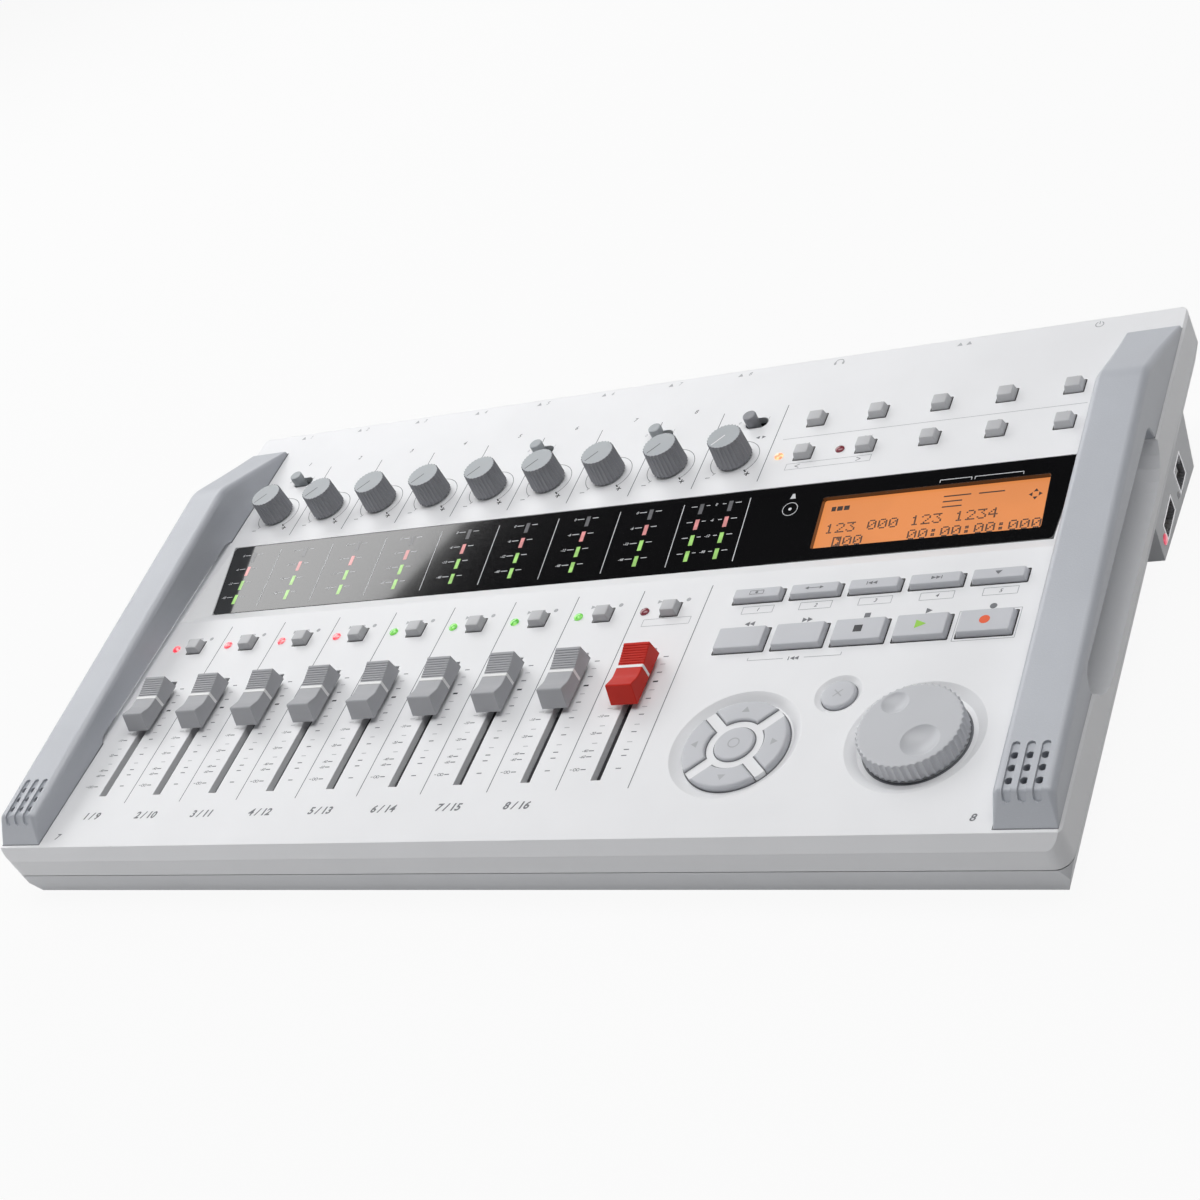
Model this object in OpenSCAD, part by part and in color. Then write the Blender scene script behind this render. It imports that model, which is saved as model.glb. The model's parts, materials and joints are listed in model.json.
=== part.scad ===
// Digital multitrack recorder: white panel with faders, knobs, keys, a jog dial and a tilted display,
// between two side rails, on a lower case whose rear pod lifts the panel towards the user.
// Panel frame: x from the middle, y from the panel's front edge, z up from the panel.

/* [Body] */
// Width across the sides of the case
body_w = 376; // [374:1:400]
// Depth of the panel from its front edge to its rear edge
body_d = 213; // [211:1:222]
// Height of the top case, from the seam to the panel
top_h = 11.6; // [11.4:0.1:12.2]
// Height of the lower case, from the seam to its underside
bottom_h = 10.4; // [10.2:0.1:12]
// Wall of both cases
wall = 2.5; // [2.2:0.1:2.6]
// Radius of the upright corners
corner_r = 5; // [3:0.5:7]
// Chamfer along the panel's side and rear edges
edge_c = 0.8; // [0.4:0.1:1.2]
// How far the front wall stands out ahead of the panel's edge
front_flare = 2.6; // [1.5:0.1:4]
// Height of the sloping stretch under the panel's front edge
flare_drop = 4.4; // [3:0.1:6]
// How far the lower case draws in at each side
side_tuck = 4; // [2:0.5:5]
// How far the lower case draws in at the front
front_tuck = 2; // [1:0.5:4]
// Slope of the panel, rising to the rear
tilt = 6.2; // [6:0.1:6.8]
// Running clearance of everything that moves
clear = 0.3; // [0.2:0.05:0.4]
// Gap between fixed pieces that lie against each other
seat = 0.1; // [0.05:0.05:0.2]

/* [Rear pod and feet] */
// Distance along the table from the panel's front edge to the pod's front face
pod_front = 137.4; // [134:0.5:140]
// Depth of the pod along its bottom
pod_d = 48.5; // [46:0.5:50]
// How far the pod's rear face leans out as it rises
pod_lean = 5.4; // [3:0.2:7]
// Inset of the pod's sides from the sides of the case
pod_inset = 4.5; // [4:0.5:8]
// Height that the feet lift the case
foot_h = 1.6; // [1.2:0.1:2.2]
// Radius of a foot
foot_r = 7; // [5:0.5:8]
// Distance of the feet from the sides of the case
foot_side = 38; // [30:1:60]
// Distance of the front feet behind the panel's front edge
foot_y = 14; // [12:1:20]
// Length of the battery compartment, three cells in line
cell_l = 154; // [152:1:158]
// Width of the battery compartment, two cells side by side
cell_w = 31; // [30:0.5:32]
// Depth of the battery compartment above its cover
cell_h = 15.5; // [15:0.1:16]
// Thickness of the battery cover
cover_t = 2; // [1.6:0.1:2.4]

/* [Side rails] */
// Width of a rail
rail_w = 17.3; // [16:0.1:18]
// Distance from the side of the case to a rail
rail_inset = 0.7; // [0.5:0.1:1.5]
// Distance of a rail's front face behind the panel's front edge
rail_front = 1.3; // [1:0.1:3]
// Radius along a rail's top edges
rail_round = 2.4; // [1:0.1:3]
// How far a rail's inner face leans out as it rises
rail_draft = 1; // [0.5:0.1:1.5]
// Height of a rail at its front end
rail_front_h = 9.3; // [9:0.1:10.5]
// Height of a rail at its rear shoulder
rail_rear_h = 16; // [14:0.1:17]
// Distance of the rear shoulder behind the front edge
shoulder_y = 163; // [158:1:168]
// Distance of the rail's rear end behind the front edge
tail_y = 201; // [195:1:205]
// Height of the rail at its rear end
tail_h = 1.5; // [1:0.1:3]
// Front end of the finger gap under a rail
gap_front = 47; // [42:1:52]
// Rear end of the finger gap under a rail
gap_rear = 149.5; // [145:0.5:152]
// Height of the finger gap above the panel
gap_h = 6.3; // [5.8:0.1:6.8]
// Radius of the finger groove in the case under a rail
groove_r = 16; // [15:0.5:17]
// Depth of the finger groove below the panel
groove_depth = 8.8; // [7.5:0.1:9]
// Distance of the groove's middle from the side of the case
groove_inset = 1.5; // [1:0.5:3]
// Spacing of the microphone holes
mic_pitch = 4.1; // [3.8:0.1:4.3]
// Distance of the microphone's middle behind the front edge
mic_y = 13.6; // [12.5:0.1:15]
// Radius of a microphone capsule
mic_r = 4.8; // [4:0.1:5]

/* [Display] */
// Rear edge of the display window, level with the panel
win_rear = 146.2; // [145:0.1:148]
// Depth of the display window along its slope
win_l = 32.2; // [31:0.1:33]
// Slope of the display window, facing the user
win_tilt = 8; // [6:0.5:8.5]
// Distance of the window's rear corners from the sides of the case
win_side = 22; // [21:0.5:24]
// How much the window narrows at each side towards its front
win_slant = 4; // [2:0.5:5]
// Length of the slope in front of the window
ramp_l = 8; // [6:0.5:9]
// Thickness of the window
win_t = 2; // [1.6:0.1:2.2]
// Width of the ledge that carries the window
ledge = 3; // [2:0.1:3.5]
// Visible width of the character display
lcd_w = 74.3; // [70:0.1:78]
// Visible depth of the character display
lcd_d = 19.8; // [18:0.1:21]
// Distance of the character display's middle from the right side of the case
lcd_side = 68; // [66:0.5:72]

/* [Channels] */
// Distance of the first channel's middle from the left side of the case
col_inset = 33.9; // [33:0.1:36]
// Distance of the master column from the right side of the case
master_inset = 144.74; // [142:0.01:146]
// Front end of the fader slots
slot_front = 22.2; // [20:0.1:25]
// Length of a fader slot
slot_l = 53.4; // [52:0.1:55]
// Width of a fader slot
slot_w = 3.3; // [3:0.1:4]
// Where the middle of each fader cap stands along the panel
cap_y = 61.9; // [45:0.1:66]
// Length of a fader cap along its foot
cap_l = 21.4; // [19:0.1:23]
// Width of a fader cap
cap_w = 9.2; // [8:0.1:11]
// Height of a fader cap's ends above the panel
cap_h = 8.3; // [7:0.1:10]
// Length of the fader lever along the slot
lever_l = 4; // [3:0.1:5]
// Line of the knobs along the panel
knob_y = 163.5; // [161:0.1:166]
// Radius of a knob
knob_r = 6.3; // [5.5:0.1:7]
// Height of a knob's top above the panel
knob_h = 10.2; // [8:0.1:12]
// Turn of a knob each way from the middle
knob_turn = 140; // [120:5:150]
// Line of the channel keys along the panel
status_y = 92.3; // [90:0.1:93]
// Line of the slide switches along the panel
slider_y = 181.4; // [180.5:0.1:182]
// Radius of a slide switch's actuator
slider_r = 2.4; // [2:0.1:2.6]
// Travel of a slide switch
slider_travel = 3; // [2:0.1:3.2]

/* [Keys] */
// Distance of the first transport key's middle from the right side of the case
key_inset = 114; // [113:0.1:116]
// Spacing of the transport and function keys
key_pitch = 19.4; // [19:0.1:20]
// Width of a transport or function key
key_w = 16.6; // [15:0.1:17]
// Depth of a transport key
transport_d = 9.5; // [8:0.1:10]
// Line of the transport keys along the panel
transport_y = 76; // [75:0.1:78]
// Depth of a function key
function_d = 5; // [4.5:0.1:6]
// Line of the function keys along the panel
function_y = 94.9; // [93:0.1:96]
// Height of the keys above the panel
key_h = 2; // [1.5:0.1:2.6]
// Slope of the keys' sides, as the inset at the top
key_draft = 0.6; // [0.3:0.1:0.8]
// Travel of every key
key_travel = 0.8; // [0.5:0.1:0.9]
// Width of a small key
small_w = 6; // [5.6:0.1:6.8]
// Depth of a small key
small_d = 5.6; // [5:0.1:6.2]
// Height of the small keys above the panel
small_h = 2.6; // [2:0.1:3]
// Distance of the first menu key's middle from the right side of the case
menu_inset = 118.8; // [118:0.1:120]
// Spacing of the menu keys
menu_pitch = 22.06; // [21:0.01:22.4]
// Front line of the menu keys along the panel
menu_y = 161.9; // [160:0.1:163]
// Spacing of the two lines of menu keys
menu_rows = 16.8; // [16:0.1:17.2]

/* [Cursor pad, exit key and dial] */
// Line of the cursor pad and the dial along the panel
pad_y = 34.5; // [33:0.1:36]
// Distance of the cursor pad's middle from the right side of the case
pad_inset = 103; // [102:0.1:104]
// Distance of the dial's middle from the right side of the case
dial_inset = 47.7; // [47:0.1:49]
// Radius of the dishes round the cursor pad and the dial
dish_r = 20.4; // [20:0.1:21]
// Depth of those dishes
dish_depth = 2; // [1.5:0.1:2.2]
// Outer radius of the cursor keys
pad_r = 16.4; // [16:0.1:16.8]
// Inner radius of the cursor keys
pad_inner = 9.2; // [9:0.1:9.8]
// Width of the ribs between the cursor keys
rib_w = 4; // [3.8:0.1:4.6]
// Radius of the enter key
enter_r = 6.3; // [5.5:0.1:6.4]
// Height of the pad's keys above the panel
pad_h = 0.3; // [0.1:0.1:1]
// Line of the exit key along the panel
exit_y = 52; // [51:0.1:54]
// Radius of the exit key
exit_r = 5.3; // [5:0.1:5.6]
// Radius of the jog dial
dial_r = 15.5; // [14:0.1:16]
// Height of the jog dial above the panel
dial_h = 4.7; // [4:0.1:6]
// Radius of the large finger dimple
dimple_r = 5.6; // [5:0.1:6]
// Depth of the large finger dimple
dimple_depth = 1.8; // [1:0.1:2.2]

/* [Sockets] */
// Depth of the row of rear sockets below the panel
socket_z = 11; // [10.8:0.1:11.2]
// Distance of the first input jack from the left side of the case
input_inset = 23.9; // [23:0.1:25]
// Distance of the last input jack from the right side of the case
input_last = 155.19; // [154:0.01:157]
// Radius of an input jack's nose
input_r = 8; // [7.5:0.1:8.1]
// Radius of a jack plug's hole
plug_r = 3.25; // [3.2:0.01:3.35]
// Radius of the headphone level knob
phones_r = 5; // [4:0.1:5.6]
// How far the headphone level knob stands out behind the case
phones_out = 6; // [5:0.5:10]
// Distance of the headphone jack from the right side of the case
phones_inset = 119.4; // [118:0.1:121]
// Distance of the headphone level knob from its jack
phones_pitch = 19.4; // [18:0.1:20]
// Distance of the right output jack from the right side of the case
output_inset = 65; // [63:0.5:66]
// Spacing of the two output jacks
output_gap = 18; // [17:0.5:19]
// Distance of the power switch from the right side of the case
power_inset = 36.8; // [36:0.1:38]
// Distance of the power inlet from the right side of the case
inlet_inset = 20; // [19:0.1:21]
// Depth of the side sockets below the panel
data_z = 31; // [30.5:0.1:31.5]

/* [Hidden] */
$fn = 48;
left_x = -body_w / 2;
right_x = body_w / 2;
seam = -top_h;
under = -top_h - bottom_h;
seam_gap = 0.4;
over = 1;
skin = -wall;

// The recorder stands on its feet: the panel frame is turned by the tilt and lifted
function table_y(y, z) = y * cos(tilt) - z * sin(tilt);
function table_z(y, z) = y * sin(tilt) + z * cos(tilt);
lift = foot_h - table_z(foot_y, under);
box_front = table_y(-front_flare, -flare_drop);
box_rear = table_y(body_d + phones_out, -socket_z - phones_r);
mid_y = (box_front + box_rear) / 2;

function col_x(i) = left_x + col_inset + i * col_pitch;
function key_x(i) = right_x - key_inset + i * key_pitch;
function menu_x(i) = right_x - menu_inset + i * menu_pitch;
function input_x(i) = left_x + input_inset + i * input_pitch;
columns = 9;
master = columns - 1;
row_keys = 5;
inputs = 8;
col_pitch = (body_w - col_inset - master_inset) / (columns - 1);
input_pitch = (body_w - input_inset - input_last) / (inputs - 1);
pad_x = right_x - pad_inset;
dial_x = right_x - dial_inset;
exit_x = (pad_x + dial_x) / 2;
exit_dish = exit_r + 2;
exit_depth = 1.4;
slider_offset = 2.6;
slider_x = [col_x(0) + slider_offset, (col_x(4) + col_x(5)) / 2 + slider_offset,
            (col_x(6) + col_x(7)) / 2 + slider_offset, col_x(master) + slider_offset];
phones_x = right_x - phones_inset;
phones_knob_x = phones_x + phones_pitch;
output_x = [right_x - output_inset - output_gap, right_x - output_inset];
power_x = right_x - power_inset;
inlet_x = right_x - inlet_inset;

lever_w = slot_w - 1.1;
lever_end = -7;
fader_w = 8;
fader_h = 7;
fader_wall = 1;
fader_top = skin - seat;
slot_mid = slot_front + slot_l / 2;
cap_under = 1.8;
cap_dip = 1.7;
cap_lean = 3.2;

key_flange = 1;
flange_t = 1;
plunger_r = 1.3;
plunger_l = 1.6;
board_t = 1.6;
panel_board_z = -9.6;
main_board_z = -13.5;
tact_w = 6;
status_shift = 0.6;
lamp_r = 1.25;
lamp_shift = -8.85;
bank_lamp_shift = -9.1;
stop_gap = key_travel + clear;

post_r = 4;
screw_r = 1.4;
screw_head_r = 3;
screw_head_h = 2;
screw_tip = -5;
post_side = 7.5;
post_front = 8;
post_rear = 13;
rear_side = 7;

// Rounds the corners of an outline whose points carry a radius as their third value
function unit(v) = v / norm(v);
function flat(p) = [p[0], p[1]];
function bend(a, b, c, r, n) =
    let (u = unit(a - b), v = unit(c - b), half = acos(u * v) / 2, turn = 180 - 2 * half,
         middle = b + unit(u + v) * r / sin(half),
         s = b + u * r / tan(half) - middle, e = b + v * r / tan(half) - middle)
    [for (k = [0 : n]) middle + (sin(turn * (1 - k / n)) * s + sin(turn * k / n) * e) / sin(turn)];
function rounded(points, n = 6) =
    [for (i = [0 : len(points) - 1])
        let (a = points[(i + len(points) - 1) % len(points)], b = points[i],
             c = points[(i + 1) % len(points)])
        each (b[2] == 0 ? [flat(b)] : bend(flat(a), flat(b), flat(c), b[2], n))];

module on_table() {
    translate([0, -mid_y, lift]) rotate([tilt, 0, 0]) children();
}

// Profile in y and z, drawn across the case
module across(w) {
    rotate([90, 0, 90]) linear_extrude(w, center = true) children();
}

// Profile in x and z, drawn from y = from to y = to
module along(from, to) {
    translate([0, to, 0]) rotate([90, 0, 0]) linear_extrude(to - from) children();
}

module box(x, y, z, w, d, h) {
    translate([x - w / 2, y - d / 2, z]) cube([w, d, h]);
}

module disc(x, y, z, r, h) {
    translate([x, y, z]) cylinder(r = r, h = h);
}

module rounded_square(w, front, rear, r) {
    for (x = [-w / 2 + r, w / 2 - r], y = [front + r, rear - r]) translate([x, y]) circle(r);
    translate([-w / 2 + r, front]) square([w - 2 * r, rear - front]);
    translate([-w / 2, front + r]) square([w, rear - front - 2 * r]);
}

module plan(inset, low, high) {
    translate([0, 0, low]) linear_extrude(high - low)
        rounded_square(body_w - 2 * inset, inset - front_flare, body_d - inset, corner_r - inset / 2);
}

module stadium(w, l) {
    for (s = [-1, 1]) translate([s * (l - w) / 2, 0]) circle(w / 2);
    square([l - w, w], center = true);
}

// Frame of the window: its rear edge on the panel, z out of its face
module at_window() {
    translate([0, win_rear, 0]) rotate([win_tilt, 0, 0]) children();
}

win_rear_w = body_w - 2 * win_side;
win_front_w = win_rear_w - 2 * win_slant;
win_drop = win_l * sin(win_tilt);
win_front = win_rear - win_l * cos(win_tilt);

module window_outline(inset) {
    polygon([[-win_rear_w / 2 + inset, -inset], [win_rear_w / 2 - inset, -inset],
             [win_front_w / 2 - inset, inset - win_l], [-win_front_w / 2 + inset, inset - win_l]]);
}

// Recess that the window lies in: its floor slopes down to the front and a short ramp comes back up
function beyond(a, b) = b + (b - a) * (over - b[2]) / (b[2] - a[2]);
module recess(grow) {
    floor_l = [-win_front_w / 2 - grow, win_front, -win_drop];
    floor_r = [win_front_w / 2 + grow, win_front, -win_drop];
    ramp_left = beyond(floor_l, [-win_rear_w / 2 - win_slant - grow, win_front - ramp_l - grow, 0]);
    ramp_right = beyond(floor_r, [win_rear_w / 2 + win_slant + grow, win_front - ramp_l - grow, 0]);
    rear_left = beyond(floor_l, [-win_rear_w / 2 - grow, win_rear + grow, grow * tan(win_tilt)]);
    rear_right = beyond(floor_r, [win_rear_w / 2 + grow, win_rear + grow, grow * tan(win_tilt)]);
    polyhedron([floor_l, floor_r, ramp_left, ramp_right, rear_left, rear_right],
               [[2, 4, 5, 3], [0, 1, 5, 4], [2, 3, 1, 0], [0, 4, 2], [1, 3, 5]]);
}

// Finger groove in the case under a rail, with round ends
groove_z = groove_r - groove_depth;
groove_half = sqrt(groove_r * groove_r - groove_z * groove_z);
groove_steps = 6;
function scoop(r, l) = concat(
    [for (k = [0 : groove_steps]) r * [sin(90 * k / groove_steps), -cos(90 * k / groove_steps)]],
    [for (k = [0 : groove_steps]) r * [cos(90 * k / groove_steps), sin(90 * k / groove_steps)] + [0, l]]);
module groove(side, grow) {
    from = gap_front + groove_half;
    to = gap_rear - groove_half;
    translate([side * (right_x - groove_inset), from, groove_z]) rotate([-90, 0, 0])
        rotate_extrude() polygon(scoop(groove_r + grow, to - from));
}

module dish(x, y, r, depth, h) {
    translate([x, y, -depth]) cylinder(r1 = r - depth * 1.5, r2 = r + h * 1.5, h = depth + h);
}

// One cursor key's outline, pointing to the rear
module sector(grow) {
    start = (rib_w / 2 - grow) * sqrt(2);
    reach = pad_r + grow;
    intersection() {
        difference() {
            circle(reach);
            circle(pad_inner - grow);
        }
        polygon([[0, start], [reach, start + reach], [-reach, start + reach]]);
    }
}

module each_post() {
    for (side = [-1, 1], y = [post_front, body_d - post_rear])
        translate([side * (right_x - post_side), y, 0]) children();
    translate([0, post_front, 0]) children();
}

module key_hole(x, y, w, d) {
    box(x, y, -wall - over, w + 2 * clear, d + 2 * clear, wall + 2 * over);
}

// A key's cap with sloping sides, its shaft through the panel, its flange below and its plunger
module key(x, y, w, d, h) {
    translate([x, y, 0]) {
        intersection() {
            across(w) polygon([[-d / 2, 0], [d / 2, 0], [d / 2 - key_draft, h], [key_draft - d / 2, h]]);
            along(-d / 2, d / 2)
                polygon([[-w / 2, 0], [w / 2, 0], [w / 2 - key_draft, h], [key_draft - w / 2, h]]);
        }
        box(0, 0, skin - seat, w, d, wall + seat);
        box(0, 0, skin - seat - flange_t, w + 2 * key_flange, d + 2 * key_flange, flange_t);
        disc(0, 0, skin - seat - flange_t - plunger_l, plunger_r, plunger_l);
    }
}
key_end = skin - seat - flange_t - plunger_l;
tact_top = key_end - stop_gap;
pad_skin = -dish_depth - wall;
exit_skin = -exit_depth - wall;
round_flange = 0.8;
round_plunger = 0.6;
pad_end = pad_skin - seat - round_flange - round_plunger;
exit_end = exit_skin - seat - round_flange - round_plunger;

module top_outer() {
    intersection() {
        plan(0, seam, 0);
        across(body_w + 2 * over)
            polygon([[0, 0], [body_d - edge_c, 0], [body_d, -edge_c], [body_d, seam],
                     [-front_flare, seam], [-front_flare, -flare_drop]]);
        along(-front_flare - over, body_d + over)
            polygon([[left_x, seam], [left_x, -edge_c], [left_x + edge_c, 0],
                     [right_x - edge_c, 0], [right_x, -edge_c], [right_x, seam]]);
    }
}

module top_inner() {
    difference() {
        plan(wall, seam - over, skin);
        across(body_w) polygon([[-front_flare, -flare_drop], [-front_flare, over], [wall + over, over],
                                [wall + over, skin], [wall, skin], [wall - front_flare, -flare_drop - wall],
                                [-front_flare, -flare_drop - wall]]);
        for (side = [-1, 1]) groove(side, wall);
        for (drop = [wall + over / 2, win_t + wall]) translate([0, 0, -drop]) recess(wall);
        disc(pad_x, pad_y, pad_skin, dish_r + wall, wall + over);
        disc(dial_x, pad_y, pad_skin, dish_r + wall, wall + over);
        disc(exit_x, exit_y, exit_skin, exit_dish + wall, wall + over);
        each_post() translate([0, 0, seam]) cylinder(r = post_r, h = top_h);
    }
}

module pad_plateau() {
    translate([pad_x, pad_y, -dish_depth - over]) difference() {
        cylinder(r = pad_r, h = over + dish_depth + pad_h - 0.8);
        for (a = [0 : 90 : 270]) rotate(a) translate([0, 0, -over])
            linear_extrude(dish_depth + 3 * over) sector(clear);
        translate([0, 0, -over]) cylinder(r = enter_r + clear, h = dish_depth + 3 * over);
    }
}

module panel_cuts() {
    recess(0);
    at_window() translate([0, 0, -win_t]) linear_extrude(win_t + over) window_outline(0);
    at_window() translate([0, 0, -win_t - wall - over])
        linear_extrude(wall + 2 * over) window_outline(ledge);
    for (side = [-1, 1]) groove(side, 0);
    dish(pad_x, pad_y, dish_r, dish_depth, over);
    dish(dial_x, pad_y, dish_r, dish_depth, over);
    dish(exit_x, exit_y, exit_dish, exit_depth, over);
    for (i = [0 : master]) {
        box(col_x(i), slot_mid, -wall - over, slot_w, slot_l, wall + 2 * over);
        disc(col_x(i), knob_y, -wall - over, shaft_r + clear, wall + 2 * over);
        key_hole(col_x(i) + status_shift, status_y, small_w, small_d);
        disc(col_x(i) + lamp_shift, status_y, -wall - over, lamp_r + seat, wall + 2 * over);
    }
    for (i = [0 : row_keys - 1]) {
        key_hole(key_x(i), transport_y, key_w, transport_d);
        key_hole(key_x(i), function_y, key_w, function_d);
        for (row = [0, 1]) key_hole(menu_x(i), menu_y + row * menu_rows, small_w, small_d);
    }
    for (i = [0, 1]) disc(menu_x(i) + bank_lamp_shift, menu_y, -wall - over, lamp_r + seat, wall + 2 * over);
    for (x = slider_x) translate([x, slider_y, -wall - over]) linear_extrude(wall + 2 * over)
        stadium(2 * (slider_r + clear), 2 * (slider_r + clear) + slider_travel);
    translate([pad_x, pad_y, pad_skin - over]) {
        for (a = [0 : 90 : 270]) rotate(a) linear_extrude(wall + 2 * over) sector(clear);
        cylinder(r = enter_r + clear, h = wall + 2 * over);
    }
    disc(dial_x, pad_y, pad_skin - over, shaft_r + clear, wall + 2 * over);
    disc(exit_x, exit_y, exit_skin - over, exit_r + clear, wall + 2 * over);
    each_post() translate([0, 0, seam - over])
        cylinder(r = screw_r + seat, h = screw_tip - seam + over + clear);
    translate([0, body_d, skin - seat]) box(0, 0, seam, body_w - 2 * rear_side, 2 * wall + over, top_h);
}
shaft_r = 2;

module top_case() {
    color("white") on_table() {
        difference() {
            top_outer();
            top_inner();
            panel_cuts();
        }
        pad_plateau();
    }
}

// Outline of the lower case, drawn in by the wall for its hollow
module bottom_shell(inset, low, high) {
    lean = side_tuck / bottom_h;
    front_lean = front_tuck / bottom_h;
    half = right_x - inset;
    front = inset - front_flare;
    intersection() {
        plan(inset, low, high);
        along(-front_flare - over, body_d + over)
            polygon([[-half + lean * (seam - low), low], [half - lean * (seam - low), low],
                     [half + lean * (high - seam), high], [-half - lean * (high - seam), high]]);
        across(body_w + 2 * over)
            polygon([[front + front_lean * (seam - low), low], [body_d, low], [body_d, high],
                     [front - front_lean * (high - seam), high]]);
    }
}

pod_rear = pod_front + pod_d;
pod_top = lift + table_z(pod_front, under) + wall;
pod_w = body_w - 2 * pod_inset;
cell_mid = pod_front + pod_d / 2;
cell_top = foot_h + cover_t + cell_h;
cover_w = cell_l + 6;
tongue = 2;
cover_front = cell_mid - cell_w / 2 - 3.5;

// Pod in the table frame, before the whole is centred
module pod(inset, low) {
    rise = table_z(pod_rear + pod_lean, under) + lift + wall;
    across(pod_w - 2 * inset)
        polygon([[pod_front + inset, low], [pod_rear - inset, low], [pod_rear + pod_lean - inset, rise],
                 [pod_front + inset, pod_top]]);
}

module cover_slot(grow) {
    from = cover_front - grow;
    to = pod_rear + pod_lean + over;
    mid = (from + to) / 2;
    box(0, mid, foot_h - over, cover_w + 2 * grow, to - from, over + cover_t / 2 + grow);
    box(0, mid, foot_h + cover_t / 2 - grow, cover_w + 2 * tongue + 2 * grow, to - from,
        cover_t / 2 + 2 * grow);
}

module data_holes(grow) {
    for (p = data_ports) translate([right_x - pod_inset, p[0], -data_z - (p[2] / 2 + grow)])
        translate([-p[3] - grow, -p[1] / 2 - grow, 0])
            cube([p[3] + grow + over, p[1] + 2 * grow, p[2] + 2 * grow]);
}
// Side sockets: place along the panel, opening's width and height, depth
usb_a = [149, 12.5, 5.2, 16];
usb_b = [169.5, 8.6, 8, 16];
data_ports = [usb_a, usb_b];
data_wall = 0.8;
card = [153.5, 25, 4.2, 28];
card_open = [24.4, 2.4];
access_y = 139.9;
access_z = 31.5;

module bottom_case() {
    color("gainsboro") {
        difference() {
            union() {
                on_table() difference() {
                    bottom_shell(0, under, seam - seam_gap);
                    difference() {
                        bottom_shell(wall, under + wall, seam + over);
                        each_post() translate([0, 0, under])
                            cylinder(r = post_r, h = bottom_h - seam_gap - seat);
                    }
                }
                translate([0, -mid_y, 0]) pod(0, foot_h);
            }
            translate([0, -mid_y, 0]) difference() {
                pod(wall, foot_h + wall);
                box(0, cell_mid, 0, cell_l + 2 * wall, cell_w + 2 * wall, cell_top + wall);
                box(0, (cover_front + pod_rear) / 2, 0, cover_w + 2 * tongue + 2 * wall,
                    pod_rear - cover_front + 2 * wall, foot_h + cover_t + wall);
            }
            translate([0, -mid_y, 0]) {
                cover_slot(clear);
                box(0, cell_mid, foot_h, cell_l, cell_w, cover_t + cell_h);
            }
            on_table() {
                data_holes(data_wall + seat);
                translate([left_x + pod_inset - over + (wall + 2 * over) / 2, 0, 0])
                    box(0, card[0], -data_z - card[2] / 2 - seat, wall + 2 * over, card[1] + 2 * seat,
                        card[2] + 2 * seat);
                translate([right_x - pod_inset - wall - over, access_y, -access_z]) rotate([0, 90, 0])
                    cylinder(r = lamp_r + seat, h = wall + 2 * over);
                each_post() {
                    translate([0, 0, under - over])
                        cylinder(r = screw_head_r + clear, h = screw_head_h + seat + over);
                    translate([0, 0, under]) cylinder(r = screw_r + clear, h = bottom_h + over);
                }
                box(0, body_d, under + wall, body_w - 2 * rear_side, 2 * wall + over, bottom_h);
            }
        }
        on_table() standoffs();
    }
}

standoff_r = 3;
standoff_y = 122;
standoff_xs = [-150, -50, 50, 150];
module standoffs() {
    foot = under + wall - over;
    for (x = standoff_xs) disc(x, standoff_y, foot, standoff_r, main_board_z - board_t - seat - foot);
}

module rear_panel() {
    height = -skin + seat;
    color("lightgray") on_table() difference() {
        translate([0, body_d - wall / 2, 0])
            box(0, 0, under + wall + seat, body_w - 2 * rear_side - 2 * seat, wall,
                -under - wall - height - seat);
        for (i = [0 : inputs - 1]) rear_hole(input_x(i), input_r + seat);
        for (x = concat(output_x, [phones_x])) rear_hole(x, output_nose + seat);
        rear_hole(phones_knob_x, shaft_r + clear);
        rear_hole(inlet_x, inlet_nose + seat);
        translate([power_x, body_d, -socket_z - power_h / 2 - clear])
            box(0, 0, 0, power_w + power_travel + 2 * clear, 4 * wall, power_h + 2 * clear);
    }
}
output_nose = 5;
inlet_nose = 4.5;
power_w = 4;
power_h = 3.6;
power_travel = 4;

module rear_hole(x, r) {
    translate([x, body_d + over, -socket_z]) rotate([90, 0, 0]) cylinder(r = r, h = wall + 2 * over);
}

// Something round that looks out to the rear, from y = from to y = to
module rear_rod(x, r, from, to) {
    translate([x, to, -socket_z]) rotate([90, 0, 0]) cylinder(r = r, h = to - from);
}

// Side view of a rail: sloping top, shoulder and ramp at the rear, finger gap below
rail_x = right_x - rail_inset - rail_w / 2;
rail_rise = atan((rail_rear_h - rail_front_h) / (shoulder_y - rail_front));
front_lean = 1.4;
gap_lean = 2;
gap_corner = 3.5;
shoulder_r = 16;
nose_r = 4;
module rail_side() {
    polygon(rounded([[rail_front, 0, 0], [gap_front, 0, 0], [gap_front + gap_lean, gap_h, gap_corner],
                     [gap_rear - gap_lean, gap_h, gap_corner], [gap_rear, 0, 0], [tail_y, 0, 0],
                     [tail_y, tail_h, 0], [shoulder_y, rail_rear_h, shoulder_r],
                     [rail_front + front_lean, rail_front_h, nose_r]]));
}

// End view of a rail, its top edges rounded and its inner face leaning, along a slope of the top line
rail_deep = 130;
module rail_end(y, z, slope, from, to) {
    lean = rail_draft * rail_deep / rail_rear_h;
    translate([0, y, z]) rotate([slope, 0, 0]) along(from, to)
        polygon(rounded([[-rail_w / 2 + rail_draft - lean, -rail_deep, 0], [rail_w / 2, -rail_deep, 0],
                         [rail_w / 2, 0, rail_round], [-rail_w / 2 + rail_draft, 0, rail_round]]));
}

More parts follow.
